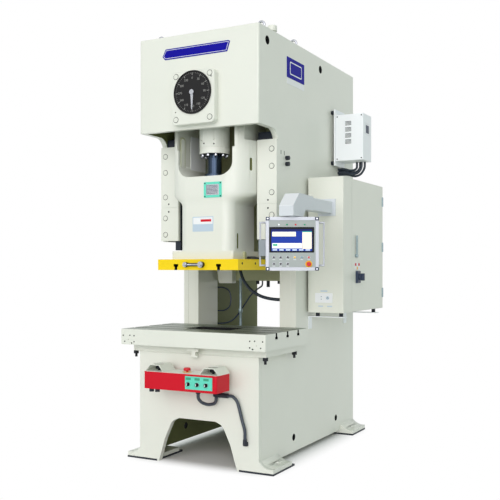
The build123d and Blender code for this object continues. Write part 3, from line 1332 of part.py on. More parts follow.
def conduit():
    """Upright steel conduit with a coupling, from the bed lid to the cross plate."""
    half, length = CONDUIT_CLIP
    top = CROSS_PLATE_BOTTOM + length
    pipe = post(CONDUIT_X, CONDUIT_DEPTH, (BED_TOP, top), CONDUIT_RADIUS)
    for start, rise, radius in (CONDUIT_COUPLING, CONDUIT_FOOT):
        pipe += post(CONDUIT_X, CONDUIT_DEPTH, (BED_TOP + start, BED_TOP + start + rise), radius)
    depths = (CONDUIT_DEPTH, COLUMN_BACK)
    return pipe + slab((CONDUIT_X - half, CONDUIT_X + half), depths, (top - length, top))


def build():
    """All named pieces."""
    return {
        "side_plate_left": side_plate(-1),
        "side_plate_right": side_plate(1),
        "bed_front_plate": bed_front_plate(),
        "bed_rear_plate": bed_rear_plate(),
        "bed_lid": bed_lid(),
        "mounting_feet": mounting_feet(),
        "bolster": bolster(),
        "bolster_studs": bolster_studs(),
        "crown_front_plate": crown_front_plate(),
        "crown_roof": crown_roof(),
        "crown_back_plate": crown_back_plate(),
        "column_boxes": column_boxes(),
        "rear_cross_plate": rear_cross_plate(),
        "junction_box": junction_box(),
        "slide_guides": slide_guides(),
        "gib_covers": gib_covers((COVER_BOTTOM, COVER_SPLIT - COVER_JOINT))
        + gib_covers((COVER_SPLIT, COVER_TOP)),
        "frame_bolts": frame_bolts(),
        "dial_plate": dial_plate(),
        "dial_face": dial_face(),
        "dial_pointer": dial_pointer(),
        "cylinder_beam": cylinder_beam(),
        "cylinder": cylinder(),
        "cylinder_gland": cylinder_gland(),
        "gland_bolts": gland_bolts(),
        "piston_rod": piston_rod(),
        "slide_body": [slide_body(), indicator_rack()],
        "slide_plate": slide_plate(),
        "shank_clamp": shank_clamp(),
        "lifting_eyes": lifting_eyes(),
        "roof_hatch": [roof_hatch(), breather()],
        "oil_tank": oil_tank(),
        "servo_pump": [pump(), servo_motor(), *oil_pipes()],
        "cabinet_shell": cabinet_shell(),
        "cabinet_door": cabinet_door(),
        "cabinet_brackets": cabinet_brackets(),
        "rubber_mounts": rubber_mounts(),
        "door_handle": door_handle(),
        "breaker_base": breaker_base(),
        "breaker_knob": breaker_knob(),
        "panel_arm": [panel_arm(), panel_elbow()],
        "panel_housing": panel_housing(),
        "panel_trim": panel_trim(),
        "panel_stop_button": panel_stop(),
        "drive_box": drive_box(),
        "drive_cables": drive_cables(),
        "control_box": control_box(),
        "control_top": control_top(),
        "palm_button_left": palm_button(-GUARD_X, PALM_RADIUS),
        "palm_button_right": palm_button(GUARD_X, PALM_RADIUS),
        "stop_button": palm_button(STOP_X, PALM_RADIUS),
        "switch_plate": switch_plate(),
        "key_switch": selector(SWITCH_XS[0]),
        "mode_switch": selector(SWITCH_XS[1]),
        "pump_switch": selector(SWITCH_XS[2]),
        "control_hangers": control_hangers(),
        "cable_glands": cable_glands(),
        "control_hoses": control_hoses(),
        "throat_hose": tube(THROAT_ROUTE, THROAT_HOSE_RADIUS),
        "rear_cables": rear_cables(),
        "conduit": conduit(),
    }


def main():
    """Writes one STEP file for each named piece."""
    os.makedirs("parts", exist_ok=True)
    for name, part in build().items():
        if isinstance(part, list):
            part = Compound(children=[solid for item in part for solid in item.solids()])
        export_step(part, f"parts/{name}.step")


main()
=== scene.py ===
import bpy
import bmesh
import math
from mathutils import Matrix, Vector


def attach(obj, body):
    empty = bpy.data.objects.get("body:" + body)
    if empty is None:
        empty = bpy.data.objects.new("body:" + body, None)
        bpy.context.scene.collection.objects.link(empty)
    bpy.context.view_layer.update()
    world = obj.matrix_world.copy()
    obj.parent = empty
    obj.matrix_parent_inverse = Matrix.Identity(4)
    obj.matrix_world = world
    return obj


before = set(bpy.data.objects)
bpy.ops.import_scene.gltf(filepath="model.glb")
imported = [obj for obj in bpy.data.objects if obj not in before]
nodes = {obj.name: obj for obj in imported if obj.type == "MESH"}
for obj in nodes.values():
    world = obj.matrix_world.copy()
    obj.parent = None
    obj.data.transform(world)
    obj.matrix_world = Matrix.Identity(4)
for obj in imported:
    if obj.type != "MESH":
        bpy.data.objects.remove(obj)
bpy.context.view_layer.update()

# Lengths are in millimetres unless a comment says metres. Depths are measured back from the frame's front
# face, as in the part's source.
FRONT = -870
FRAME_DEPTH = 1740
SIDE_FACE = 478.5
SIDE_INNER = 438.5
COLUMN_INNER = 348.5
AXIS_DEPTH = 240
BED_TOP = 822
BOLSTER_TOP = 932
BOLSTER_FRONT = -94
SLOT_PITCH = 172
SLOT_HALF = 19.5
COVER_FACE = 268
CYLINDER_RADIUS = 108
DIAL_HEIGHT = 2557
DIAL_FACE = -61
DIAL_PLATE_FACE = -55
SLIDE_HEAD_FACE = 88
SLIDE_STEM_FACE = 95
SLIDE_PLATE_SIDE = 322
CLAMP_SEAT = 1420.5
WINDOW_WALL = -220
SWIVEL_X = 650
SWIVEL_DEPTH = 150
SWIVEL_ANGLE = math.radians(28)
SCREEN_FACE = -29
PANEL_FACE = -32
PANEL_HEIGHTS = (1367, 1674)
CABINET_FACE = 755
DOOR_FACE = 777
DRIVE_FACE = 1242
DRIVE_SIDE = 750
SWITCH_FACE = -223
KNOB_FACE = -243
SELECTOR_XS = (71, 140, 208)
SELECTOR_HEIGHT = 596
BOX_TOP = 663


# Faces of the machine: each turns (across, up, out) into a place in metres

def front(depth):
    return lambda u, v, w: Vector((u, FRONT + depth - w, v)) / 1000


def right(x):
    return lambda u, v, w: Vector((x + w, FRONT + u, v)) / 1000


def top(height):
    return lambda u, v, w: Vector((u, FRONT + v, height + w)) / 1000


def panel(depth):
    turn = Matrix.Rotation(SWIVEL_ANGLE, 3, "Z")
    return lambda u, v, w: (turn @ Vector((u, depth - w, v)) + Vector((SWIVEL_X, FRONT + SWIVEL_DEPTH, 0))) / 1000


# Materials

COAT_ROUGHNESS = 0.12
RELIEF_DEPTH = 0.001  # metres


def linear(colour):
    """Linear colour from one given in 0 to 255 as it is seen on a screen."""
    shares = (v / 255 for v in colour)
    return tuple(c / 12.92 if c <= 0.04045 else ((c + 0.055) / 1.055) ** 2.4 for c in shares) + (1,)


def material(name, colour, rough=0.4, metal=0.0, coat=0.0, vary=0.04, broad=1.6, grain=900, bump=0.04, mottle=0.06,
             stretch=(1, 1, 1), gloss=0.5):
    """Surface whose colour drifts over a broad noise, with a fine grain in its roughness and relief."""
    made = bpy.data.materials.new(name)
    made.use_nodes = True
    tree = made.node_tree
    add, link = tree.nodes.new, tree.links.new
    shader = tree.nodes["Principled BSDF"]
    shader.inputs["Metallic"].default_value = metal
    shader.inputs["Specular IOR Level"].default_value = gloss
    shader.inputs["Coat Weight"].default_value = coat
    shader.inputs["Coat Roughness"].default_value = COAT_ROUGHNESS
    place = add("ShaderNodeTexCoord")
    scale = add("ShaderNodeMapping")
    scale.inputs["Scale"].default_value = stretch
    link(place.outputs["Object"], scale.inputs["Vector"])
    wide = add("ShaderNodeTexNoise")
    wide.inputs["Scale"].default_value = broad
    wide.inputs["Detail"].default_value = 5
    wide.inputs["Roughness"].default_value = 0.6
    fine = add("ShaderNodeTexNoise")
    fine.inputs["Scale"].default_value = grain
    fine.inputs["Detail"].default_value = 3
    link(place.outputs["Object"], wide.inputs["Vector"])
    link(scale.outputs["Vector"], fine.inputs["Vector"])
    base = linear(colour)
    ramp = add("ShaderNodeValToRGB")
    ramp.color_ramp.elements[0].position = 0.3
    ramp.color_ramp.elements[1].position = 0.7
    ramp.color_ramp.elements[0].color = tuple(c * (1 - vary) for c in base[:3]) + (1,)
    ramp.color_ramp.elements[1].color = tuple(min(1, c * (1 + vary)) for c in base[:3]) + (1,)
    link(wide.outputs["Fac"], ramp.inputs["Fac"])
    speck = add("ShaderNodeMix")
    speck.data_type = "RGBA"
    speck.blend_type = "MULTIPLY"
    speck.inputs[0].default_value = mottle
    link(ramp.outputs["Color"], speck.inputs[6])
    link(fine.outputs["Color"], speck.inputs[7])
    link(speck.outputs[2], shader.inputs["Base Color"])
    sheen = add("ShaderNodeMapRange")
    sheen.inputs["To Min"].default_value = rough * 0.82
    sheen.inputs["To Max"].default_value = min(1, rough * 1.18)
    link(fine.outputs["Fac"], sheen.inputs["Value"])
    link(sheen.outputs["Result"], shader.inputs["Roughness"])
    relief = add("ShaderNodeBump")
    relief.inputs["Strength"].default_value = bump
    relief.inputs["Distance"].default_value = RELIEF_DEPTH
    link(fine.outputs["Fac"], relief.inputs["Height"])
    link(relief.outputs["Normal"], shader.inputs["Normal"])
    return made


def glowing(name, colour, strength):
    """Lit part of the screen or a lamp, with a faint pixel grain."""
    made = material(name, colour, rough=0.3, vary=0.03, grain=1500, bump=0.0, gloss=0.1)
    shader = made.node_tree.nodes["Principled BSDF"]
    shader.inputs["Emission Color"].default_value = linear(colour)
    shader.inputs["Emission Strength"].default_value = strength
    return made


CREAM = material("cream_enamel", (229, 231, 221), rough=0.34, coat=0.15, vary=0.02, grain=260, bump=0.035)
CAST = material("cast_cream_enamel", (229, 231, 221), rough=0.36, coat=0.15, vary=0.025, grain=150, bump=0.09)
# Olive copies of the cream enamel, as painted shade on inner, back and under faces and on parts inside the frame
OLIVE_SHADE = material("olive_painted_shade", (186, 189, 150), rough=0.5, vary=0.08, grain=260, bump=0.05, gloss=0.3)
SHADE = material("shaded_enamel", (118, 124, 78), rough=0.55, vary=0.1, grain=260, bump=0.05, gloss=0.25)
SHEET_PAINT = material("sheet_enamel", (228, 230, 219), rough=0.38, coat=0.12, vary=0.015, grain=700, bump=0.05)
GROUND = material("ground_steel", (146, 156, 143), rough=0.4, metal=0.7, vary=0.08, grain=240, bump=0.05,
                  stretch=(1, 26, 26), mottle=0.25)
YELLOW = material("yellow_enamel", (248, 214, 12), rough=0.36, vary=0.03, grain=260, bump=0.03, gloss=0.25)
RED = material("red_enamel", (210, 22, 42), rough=0.36, vary=0.03, grain=420, bump=0.05, gloss=0.15)
WHITE = material("white_powder_coat", (246, 249, 252), rough=0.42, vary=0.015, grain=900, bump=0.07)
BLACK_STEEL = material("black_oxide_steel", (30, 32, 38), rough=0.32, metal=0.5, vary=0.15, grain=500, bump=0.06)
# Guide iron, made near black along its whole length as painted shade from under the crown
GUIDE_IRON_SHADE = material("guide_iron_painted_shade", (34, 42, 54), rough=0.36, metal=0.3, vary=0.15, grain=180, bump=0.08,
                 stretch=(1, 1, 0.1), mottle=0.2, gloss=0.35)
ROD = material("dark_polished_rod", (54, 68, 86), rough=0.2, metal=0.85, vary=0.12, grain=120, bump=0.03,
               stretch=(1, 1, 14), mottle=0.25)
BRIGHT = material("bright_steel", (186, 190, 196), rough=0.24, metal=0.95, vary=0.07, grain=420, bump=0.04,
                  mottle=0.2)
WORN = material("worn_steel", (122, 126, 132), rough=0.3, metal=0.9, vary=0.2, broad=24, grain=420, bump=0.06,
                mottle=0.3)
ZINC = material("zinc_coating", (152, 172, 178), rough=0.4, metal=0.7, vary=0.16, broad=38, grain=600, bump=0.05)
RUBBER = material("black_rubber", (30, 36, 46), rough=0.52, vary=0.1, broad=6, grain=1200, bump=0.12, gloss=0.35)
HOSE = material("hose_cover", (40, 52, 66), rough=0.36, vary=0.12, broad=5, grain=900, bump=0.1, coat=0.1)
DIAL = material("dial_black", (24, 24, 25), rough=0.5, vary=0.12, grain=1400, bump=0.06, gloss=0.2)
DIAL_MARK = material("dial_marking", (142, 142, 138), rough=0.5, vary=0.05, grain=1500, bump=0.02)
PLASTIC = material("dark_moulded_plastic", (20, 23, 30), rough=0.42, vary=0.08, grain=1300, bump=0.1, gloss=0.15)
NAVY = material("blue_grey_plastic", (52, 64, 86), rough=0.4, vary=0.08, grain=1300, bump=0.1, gloss=0.35)
ALUMINIUM = material("panel_aluminium", (158, 166, 164), rough=0.42, metal=0.15, vary=0.04, grain=800, bump=0.05,
                     stretch=(0.06, 0.06, 1), mottle=0.12)
RAIL = material("rail_aluminium", (184, 188, 196), rough=0.34, metal=0.3, vary=0.03, grain=700, bump=0.04,
                stretch=(0.05, 0.05, 1))
ARM = material("arm_powder_coat", (214, 219, 224), rough=0.42, vary=0.02, grain=900, bump=0.07)
# Paler copy of the arm's powder coat, as painted light on faces turned up and to the front
ARM_PAINTED_LIGHT = material("arm_painted_light", (236, 238, 242), rough=0.38, vary=0.01, grain=900, bump=0.04)
PORT_GREY = material("port_box_grey", (146, 154, 160), rough=0.46, vary=0.03, grain=1100, bump=0.08, gloss=0.3)
MINT = material("mint_engraved_plastic", (104, 222, 196), rough=0.44, vary=0.05, broad=60, grain=1500, bump=0.08,
                gloss=0.3)
STOP_RED = material("stop_button_red", (212, 30, 42), rough=0.3, vary=0.04, grain=900, bump=0.02, gloss=0.35)
STOP_YELLOW = material("stop_ring_yellow", (246, 184, 20), rough=0.4, vary=0.03, grain=900, bump=0.03, gloss=0.3)
MOTOR = material("motor_enamel", (84, 96, 106), rough=0.42, vary=0.06, grain=300, bump=0.1)
BLUE = material("blue_plate", (22, 18, 152), rough=0.4, vary=0.03, grain=700, bump=0.02, gloss=0.06)
PALE_BLUE = material("pale_blue_plate", (188, 206, 222), rough=0.4, vary=0.02, grain=1000, bump=0.02)
PAPER = material("white_plate", (240, 242, 244), rough=0.42, vary=0.01, grain=1100, bump=0.02)
# Dark stand-ins for recesses: painted shade in gaps, holes, slots, openings and vents
GAP_SHADE = material("shadow_gap", (74, 76, 70), rough=0.7, vary=0.1, grain=600, bump=0.05, gloss=0.2)
RECESS_SHADE = material("recess_painted_shade", (14, 16, 18), rough=0.6, vary=0.1, grain=600, bump=0.05, gloss=0.2)
WELD = material("painted_weld", (226, 228, 218), rough=0.4, coat=0.15, vary=0.03, grain=90, bump=0.25)


# Carried-over CAD nodes: finish, painted shade on the slide's guides and on the oil tank, and softened edges

WELD_REACH = 0.00002  # metres
BEVEL_SEGMENTS = 2
BEVEL_ANGLE = math.radians(40)


def dress(names, finish, bevel=0.0):
    """Gives nodes a finish and, where the real edges are rounded, a small bevel."""
    for name in names.split():
        piece = nodes[name]
        piece.data.materials.clear()
        piece.data.materials.append(finish)
        if bevel:
            weld = piece.modifiers.new("weld", "WELD")
            weld.merge_threshold = WELD_REACH
            edge = piece.modifiers.new("edge", "BEVEL")
            edge.width = bevel / 1000
            edge.segments = BEVEL_SEGMENTS
            edge.limit_method = "ANGLE"
            edge.angle_limit = BEVEL_ANGLE
            edge.harden_normals = True


def repaint(name, finish, chosen):
    """Gives another finish to the faces of a node that chosen(centre, normal) picks out.

    The centre is in millimetres, with its y as the depth behind the frame's front face.
    """
    mesh = nodes[name].data
    mesh.materials.append(finish)
    index = len(mesh.materials) - 1
    for face in mesh.polygons:
        centre = face.center * 1000
        if chosen(Vector((centre.x, centre.y - FRONT, centre.z)), face.normal):
            face.material_index = index


def within(value, low, high):
    return low < value < high


dress("side_plate_left side_plate_right bed_front_plate bed_rear_plate crown_front_plate", CREAM, 2.5)
dress("crown_back_plate crown_roof rear_cross_plate cylinder_beam column_boxes junction_box bed_lid", CREAM, 2)
dress("mounting_feet gib_covers", CREAM, 2)
dress("dial_plate", CREAM)
dress("frame_bolts", CREAM, 0.8)
dress("slide_body", CAST, 3)
dress("cylinder cylinder_gland", CREAM, 1.5)
dress("bolster", CREAM, 1.5)
dress("slide_plate", YELLOW, 1.5)
# The slide's guides in iron darkened as painted shade
dress("slide_guides", GUIDE_IRON_SHADE, 1)
dress("piston_rod", ROD, 1)
dress("bolster_studs", BLACK_STEEL, 1)
dress("gland_bolts lifting_eyes", BRIGHT, 1)
dress("shank_clamp", BLACK_STEEL, 1)
dress("dial_face", DIAL, 0.8)
dress("dial_pointer", BRIGHT, 0.6)
dress("roof_hatch", CREAM, 2)
# The oil tank inside the crown in the olive of painted shade
dress("oil_tank", OLIVE_SHADE, 3)
dress("servo_pump", MOTOR, 1.5)
dress("cabinet_shell cabinet_door", SHEET_PAINT, 1.5)
dress("cabinet_brackets drive_box", WHITE, 1)
dress("rubber_mounts cable_glands", RUBBER, 1)
dress("drive_cables control_hoses throat_hose rear_cables", HOSE)
dress("door_handle", ZINC, 1.5)
dress("breaker_base breaker_knob", NAVY, 1.5)
dress("panel_arm", ARM, 3)
dress("panel_housing", ALUMINIUM, 1)
dress("panel_trim", RAIL, 1)
dress("panel_stop_button stop_button", STOP_RED, 1)
dress("control_box", RED, 3)
dress("control_top control_hangers", CREAM, 0.8)
dress("palm_button_left palm_button_right", PLASTIC, 1)
dress("switch_plate", MINT, 0.6)
dress("key_switch mode_switch pump_switch", PLASTIC, 1)
dress("conduit", ZINC, 0.8)


# Faces in another finish, faces in painted shade where they turn inwards, away or down or line a recess, and the
# arm's upturned faces in painted light. A face lies square to an axis when its normal has more than SQUARE along it,
# and leans that way with more than LEANING.

SQUARE = 0.9
LEANING = 0.5
SIDE_HOLES = ((126, 2894), (1034, 2892), (547, 144), (FRAME_DEPTH - 389, 153))
SIDE_HOLE_REACH = 32
SLIDE_SLOTS = ((206, 2078, 90, 22, 320), (194, 1549, 108, 20, 210))
PIPE_XS = (-150, -90)
PIPE_REACH = 15
RACK_LOW, RACK_BACK = 2345, 87
CLAMP_FRONT = -30.5
PIVOT_LOW = 1698.5
RAIL_OUT, TRIM_OUT = 30, 31
PORT_EDGE, PORT_HEIGHTS = -177, (1430, 1560)
ARM_LEAN = 0.2


def in_bolster_slot(p, n):
    """Walls and floors of the bolster's T-slots."""
    off_middle = min(abs(p.y - AXIS_DEPTH - step * SLOT_PITCH) for step in (-1, 0, 1))
    return (within(p.z, BOLSTER_TOP - 43, BOLSTER_TOP - 3) and abs(p.x) < 574 and within(p.y, 30, 460) and
            off_middle < SLOT_HALF and abs(n.x) < LEANING)


def in_slide_plate_slot(p, n):
    """Walls and roofs of the slide plate's T-slots."""
    return within(p.z, 1346.5, 1387.5) and abs(abs(p.x) - SLOT_PITCH) < SLOT_HALF and abs(n.y) < LEANING


def in_bolster_opening(p, n):
    """Walls of the drop opening through the bolster."""
    return (within(p.z, BED_TOP - 2, BOLSTER_TOP - 3) and abs(p.x) < 184 and abs(n.z) < LEANING and
            abs(p.y - AXIS_DEPTH) < 118)


def in_lid_opening(p, n):
    """Walls of the drop opening through the bed's lid."""
    return within(p.z, 700, BED_TOP) and abs(p.x) < 250 and abs(n.z) < LEANING and within(p.y, 80, 420)


def on_pipe(p, n):
    """Suction and pressure pipes, clear of the pump and of the motor."""
    return (any(abs(p.x - x) < PIPE_REACH for x in PIPE_XS) and p.z > 2170 and (p.z > 2175 or p.y > 980) and
            not within(p.y, 1060, 1180))


def on_panel(p):
    """Across and out of the operator panel, for a place on the machine."""
    x, depth = p.x - SWIVEL_X, p.y - SWIVEL_DEPTH
    return (x * math.cos(SWIVEL_ANGLE) + depth * math.sin(SWIVEL_ANGLE),
            x * math.sin(SWIVEL_ANGLE) - depth * math.cos(SWIVEL_ANGLE))


repaint("bolster", GROUND, lambda p, n: n.z > SQUARE and p.z > BOLSTER_TOP - 7)
# Painted shade on the walls and floors of the bolster's T-slots
repaint("bolster", RECESS_SHADE, in_bolster_slot)
repaint("bed_lid", GROUND, lambda p, n: n.z > SQUARE)
# Painted shade in the slide plate's T-slots, then on the frame's inner, back and under faces, the junction box's left
# faces and the beam inside the crown
repaint("slide_plate", RECESS_SHADE, in_slide_plate_slot)
repaint("side_plate_left", SHADE, lambda p, n: n.x > SQUARE)
repaint("side_plate_right", OLIVE_SHADE, lambda p, n: n.x < -SQUARE)
repaint("bed_front_plate", OLIVE_SHADE, lambda p, n: n.y > SQUARE)
repaint("bed_rear_plate", OLIVE_SHADE, lambda p, n: n.y < -SQUARE)
repaint("bed_lid", OLIVE_SHADE, lambda p, n: n.z < -SQUARE and abs(p.x) < 430)
repaint("crown_front_plate", OLIVE_SHADE, lambda p, n: n.y > SQUARE)
repaint("rear_cross_plate", OLIVE_SHADE, lambda p, n: n.y < -LEANING or n.z < -LEANING)
repaint("junction_box", OLIVE_SHADE, lambda p, n: n.x < -LEANING)
repaint("cylinder_beam", OLIVE_SHADE, lambda p, n: True)
repaint("shank_clamp", BRIGHT, lambda p, n: n.y < -SQUARE or p.y < CLAMP_FRONT)
# Painted shade in the side plates' holes
for depth, height in SIDE_HOLES:
    for side in ("left", "right"):
        repaint(f"side_plate_{side}", RECESS_SHADE, lambda p, n: abs(n.x) < LEANING and
                abs(p.y - depth) < SIDE_HOLE_REACH and abs(p.z - height) < SIDE_HOLE_REACH)
# Painted shade: the undersides of the cylinder's gland and of its bolts in black
repaint("cylinder_gland", BLACK_STEEL, lambda p, n: n.z < -LEANING)
repaint("gland_bolts", BLACK_STEEL, lambda p, n: n.z < -LEANING)
repaint("slide_body", WORN, lambda p, n: p.z > RACK_LOW and p.y < RACK_BACK)
# Painted shade on the walls of the drop openings through the bolster and the bed's lid
repaint("bolster", RECESS_SHADE, in_bolster_opening)
repaint("bed_lid", RECESS_SHADE, in_lid_opening)
# Painted shade in the slide's slots
for depth, height, length, width, outside in SLIDE_SLOTS:
    repaint("slide_body", SHADE, lambda p, n: abs(p.y - depth) < width / 2 + 0.5 and
            abs(p.z - height) < length / 2 + 0.5 and abs(p.x) < outside)
repaint("servo_pump", ZINC, on_pipe)
repaint("panel_housing", RAIL, lambda p, n: p.z > PANEL_HEIGHTS[1] or p.z < PANEL_HEIGHTS[0] or
        on_panel(p)[1] < RAIL_OUT)
repaint("panel_housing", ARM, lambda p, n: p.z > PIVOT_LOW)
repaint("panel_trim", NAVY, lambda p, n: on_panel(p)[1] > TRIM_OUT)
repaint("panel_housing", PORT_GREY, lambda p, n: on_panel(p)[0] < PORT_EDGE and within(p.z, *PORT_HEIGHTS))
# Painted light on the arm's faces that turn up and to the front
repaint("panel_arm", ARM_PAINTED_LIGHT, lambda p, n: n.y < -ARM_LEAN and n.z > ARM_LEAN)


# Added pieces

RING_BASE = -0.4
RING_SIDES = 36


def add_piece(name, mesh, body, finish):
    """Puts a bmesh into the scene as a piece of the machine."""
    data = bpy.data.meshes.new(name)
    bmesh.ops.recalc_face_normals(mesh, faces=mesh.faces)
    mesh.to_mesh(data)
    mesh.free()
    piece = bpy.data.objects.new(name, data)
    bpy.context.scene.collection.objects.link(piece)
    data.materials.append(finish)
    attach(piece, body)


def rounded(u0, u1, v0, v1, radius, steps=5):
    """Outline of a rectangle with rounded corners."""
    points = []
    for cu, cv, start in ((u1 - radius, v1 - radius, 0), (u0 + radius, v1 - radius, 90),
                          (u0 + radius, v0 + radius, 180), (u1 - radius, v0 + radius, 270)):
        for step in range(steps + 1):
            angle = math.radians(start + 90 * step / steps)
            points.append((cu + radius * math.cos(angle), cv + radius * math.sin(angle)))
    return points


def disc(u, v, radius, sides=32):
    """Outline of a circle or a regular polygon."""
    angles = [2 * math.pi * k / sides for k in range(sides)]
    return [(u + radius * math.cos(angle), v + radius * math.sin(angle)) for angle in angles]


def inset(points, distance):
    """Outline moved inwards along its corners' normals."""
    moved = []
    count = len(points)
    for k in range(count):
        before, here, after = Vector(points[k - 1]), Vector(points[k]), Vector(points[(k + 1) % count])
        one, two = (here - before).normalized(), (after - here).normalized()
        normal = Vector((-(one.y + two.y), one.x + two.x))
        if normal.length < 1e-6:
            moved.append(tuple(here))
            continue
        normal.normalize()
        moved.append(tuple(here + normal * distance / max(0.5, normal.dot(Vector((-one.y, one.x))))))
    return moved


def join(mesh, low, high):
    """Faces between two loops of vertices."""
    for k in range(len(low)):
        mesh.faces.new((low[k - 1], low[k], high[k], high[k - 1]))


def pad(mesh, face, points, base, height, edge=0.0):
    """Raised plate with a rounded edge, from an outline on a face of the machine."""
    levels = [(points, base), (points, height - edge)]
    if edge:
        levels += [(inset(points, edge * 0.35), height - edge * 0.35), (inset(points, edge), height)]
    loops = [[mesh.verts.new(face(u, v, w)) for u, v in outline] for outline, w in levels]
    for low, high in zip(loops, loops[1:]):
        join(mesh, low, high)
    mesh.faces.new(loops[-1])
    mesh.faces.new(list(reversed(loops[0])))


def pads(name, face, shapes, base, height, body, finish, edge=0.0):
    """One piece made of several raised plates."""
    mesh = bmesh.new()
    for points in shapes:
        pad(mesh, face, points, base, height, edge)
    add_piece(name, mesh, body, finish)


def rings(name, face, centres, inner, outer, body, finish, height=0.4):
    """One piece made of flat rings, such as the shadow gap round a bolt head in its hole."""
    mesh = bmesh.new()
    for u, v in centres:
        loops = [[mesh.verts.new(face(x, y, w)) for x, y in disc(u, v, radius, RING_SIDES)]
                 for radius, w in ((inner, RING_BASE), (inner, height), (outer, height), (outer, RING_BASE))]
        for low, high in zip(loops, loops[1:] + loops[:1]):
            join(mesh, low, high)
    add_piece(name, mesh, body, finish)


def bead(name, points, radius):
    """Weld bead on the frame, along points given as (x, depth, height)."""
    curve = bpy.data.curves.new(name, "CURVE")
    curve.dimensions = "3D"
    curve.bevel_depth = radius / 1000
    curve.bevel_resolution = 3
    line = curve.splines.new("POLY")
    line.points.add(len(points) - 1)
    for point, (x, depth, z) in zip(line.points, points):
        point.co = (x / 1000, (FRONT + depth) / 1000, z / 1000, 1)
    piece = bpy.data.objects.new(name, curve)
    bpy.context.scene.collection.objects.link(piece)
    curve.materials.append(WELD)
    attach(piece, "frame")


# Dial markings: the ticks' inner radius and half width, for each fifth one and for the others
MARKS = 60
NUMBERS = 12
MARK_OUTER = 134
LONG_MARK, SHORT_MARK = (116, 2.1), (127, 0.8)
NUMBER_RADIUS = 97
NUMBER_SIZE, NUMBER_RELIEF = 0.021, 0.0002  # metres
mesh = bmesh.new()
for mark in range(MARKS):
    angle = math.radians(360 // MARKS * mark)
    inner, half = SHORT_MARK if mark % 5 else LONG_MARK
    across, along = Vector((math.cos(angle), -math.sin(angle))), Vector((math.sin(angle), math.cos(angle)))
    corners = [along * MARK_OUTER + across * half, along * MARK_OUTER - across * half,
               along * inner - across * half, along * inner + across * half]
    pad(mesh, front(DIAL_FACE), [(c.x, c.y + DIAL_HEIGHT) for c in corners], -0.2, 0.5)
add_piece("dial_ticks", mesh, "frame", DIAL_MARK)
for number in range(NUMBERS):
    degrees = 360 // NUMBERS * number
    angle = math.radians(degrees)
    text = bpy.data.curves.new(f"dial_number_{degrees}", "FONT")
    text.body = str(degrees)
    text.size = NUMBER_SIZE
    text.extrude = NUMBER_RELIEF
    text.align_x = text.align_y = "CENTER"
    text.materials.append(DIAL_MARK)
    piece = bpy.data.objects.new(text.name, text)
    bpy.context.scene.collection.objects.link(piece)
    u, v = NUMBER_RADIUS * math.sin(angle), DIAL_HEIGHT + NUMBER_RADIUS * math.cos(angle)
    piece.location = front(DIAL_FACE)(u, v, 0.5)
    piece.rotation_euler = (math.pi / 2, 0, 0)
    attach(piece, "frame")

# Blank plates on the crown
slant = [(240, 2818), (262, 2886), (248, 2893), (-256, 2893), (-282, 2842), (-262, 2818)]
crown_side = right(SIDE_FACE)
pads("crown_name_plate", front(0), [slant], -0.5, 3, "frame", BLUE, 1.2)
pads("crown_name_plate_border", front(0), [inset(slant, 8)], 2, 3.6, "frame", PAPER, 0.4)
pads("crown_name_plate_field", front(0), [inset(slant, 11)], 3, 4.2, "frame", BLUE, 0.4)
pads("side_name_plate", crown_side, [rounded(430, 726, 2711, 2857, 3)], -0.5, 2.5, "frame", BLUE, 0.8)
pads("side_name_plate_field", crown_side, [rounded(478, 678, 2738, 2830, 12)], 1, 3.2, "frame", PAPER, 0.6)
pads("side_name_plate_inner", crown_side, [rounded(486, 670, 2746, 2822, 8)], 2, 3.8, "frame", BLUE, 0.4)
pads("side_name_plate_strip", crown_side, [rounded(430, 726, 2666, 2709, 3)], -0.5, 2, "frame", PAPER, 0.6)

# A pale plate as painted light on the window's wall, a cast pocket there with an olive edge as painted shade, and
# plates on the slide
window_wall, head, stem = right(WINDOW_WALL), front(SLIDE_HEAD_FACE), front(SLIDE_STEM_FACE)
pads("window_wall_painted_light", window_wall, [rounded(268, 476, 1990, 2318, 10)], -0.5, 2.5, "slide", PAPER, 1)
pads("window_pocket_edge_shade", window_wall, [rounded(134, 196, 2020, 2296, 22)], -0.5, 1.2, "slide", OLIVE_SHADE, 0.6)
pads("window_pocket", window_wall, [rounded(142, 188, 2030, 2286, 18)], 0, 1.8, "slide", CAST, 0.4)
pads("slide_name_plate", head, [rounded(2, 146, 1849, 1957, 5)], -0.5, 2, "slide", MINT, 0.6)
pads("slide_name_plate_field", head, [rounded(22, 124, 1866, 1940, 2)], 1, 2.8, "slide", BRIGHT, 0.4)
plate_rows = [rounded(32, 114, v, v + 3, 1) for v in range(1876, 1934, 9)] + [rounded(26, 29, 1874, 1934, 1)]
pads("slide_name_plate_rows", head, plate_rows, 2, 3.1, "slide", NAVY)
rivets = [disc(u, v, 5, 16) for u in (12, 136) for v in (1858, 1948)]
pads("slide_name_plate_rivets", head, rivets, 1, 5, "slide", PLASTIC, 2)
pads("slide_label", stem, [rounded(-94, 75, 1615, 1719, 2)], -0.5, 0.8, "slide", PALE_BLUE, 0.3)
pads("slide_label_field", stem, [rounded(-88, 69, 1667, 1713, 2)], 0, 1.1, "slide", PAPER, 0.2)
pads("slide_label_bar", stem, [rounded(-28, 58, 1683, 1700, 2)], 0.5, 1.5, "slide", RED, 0.2)

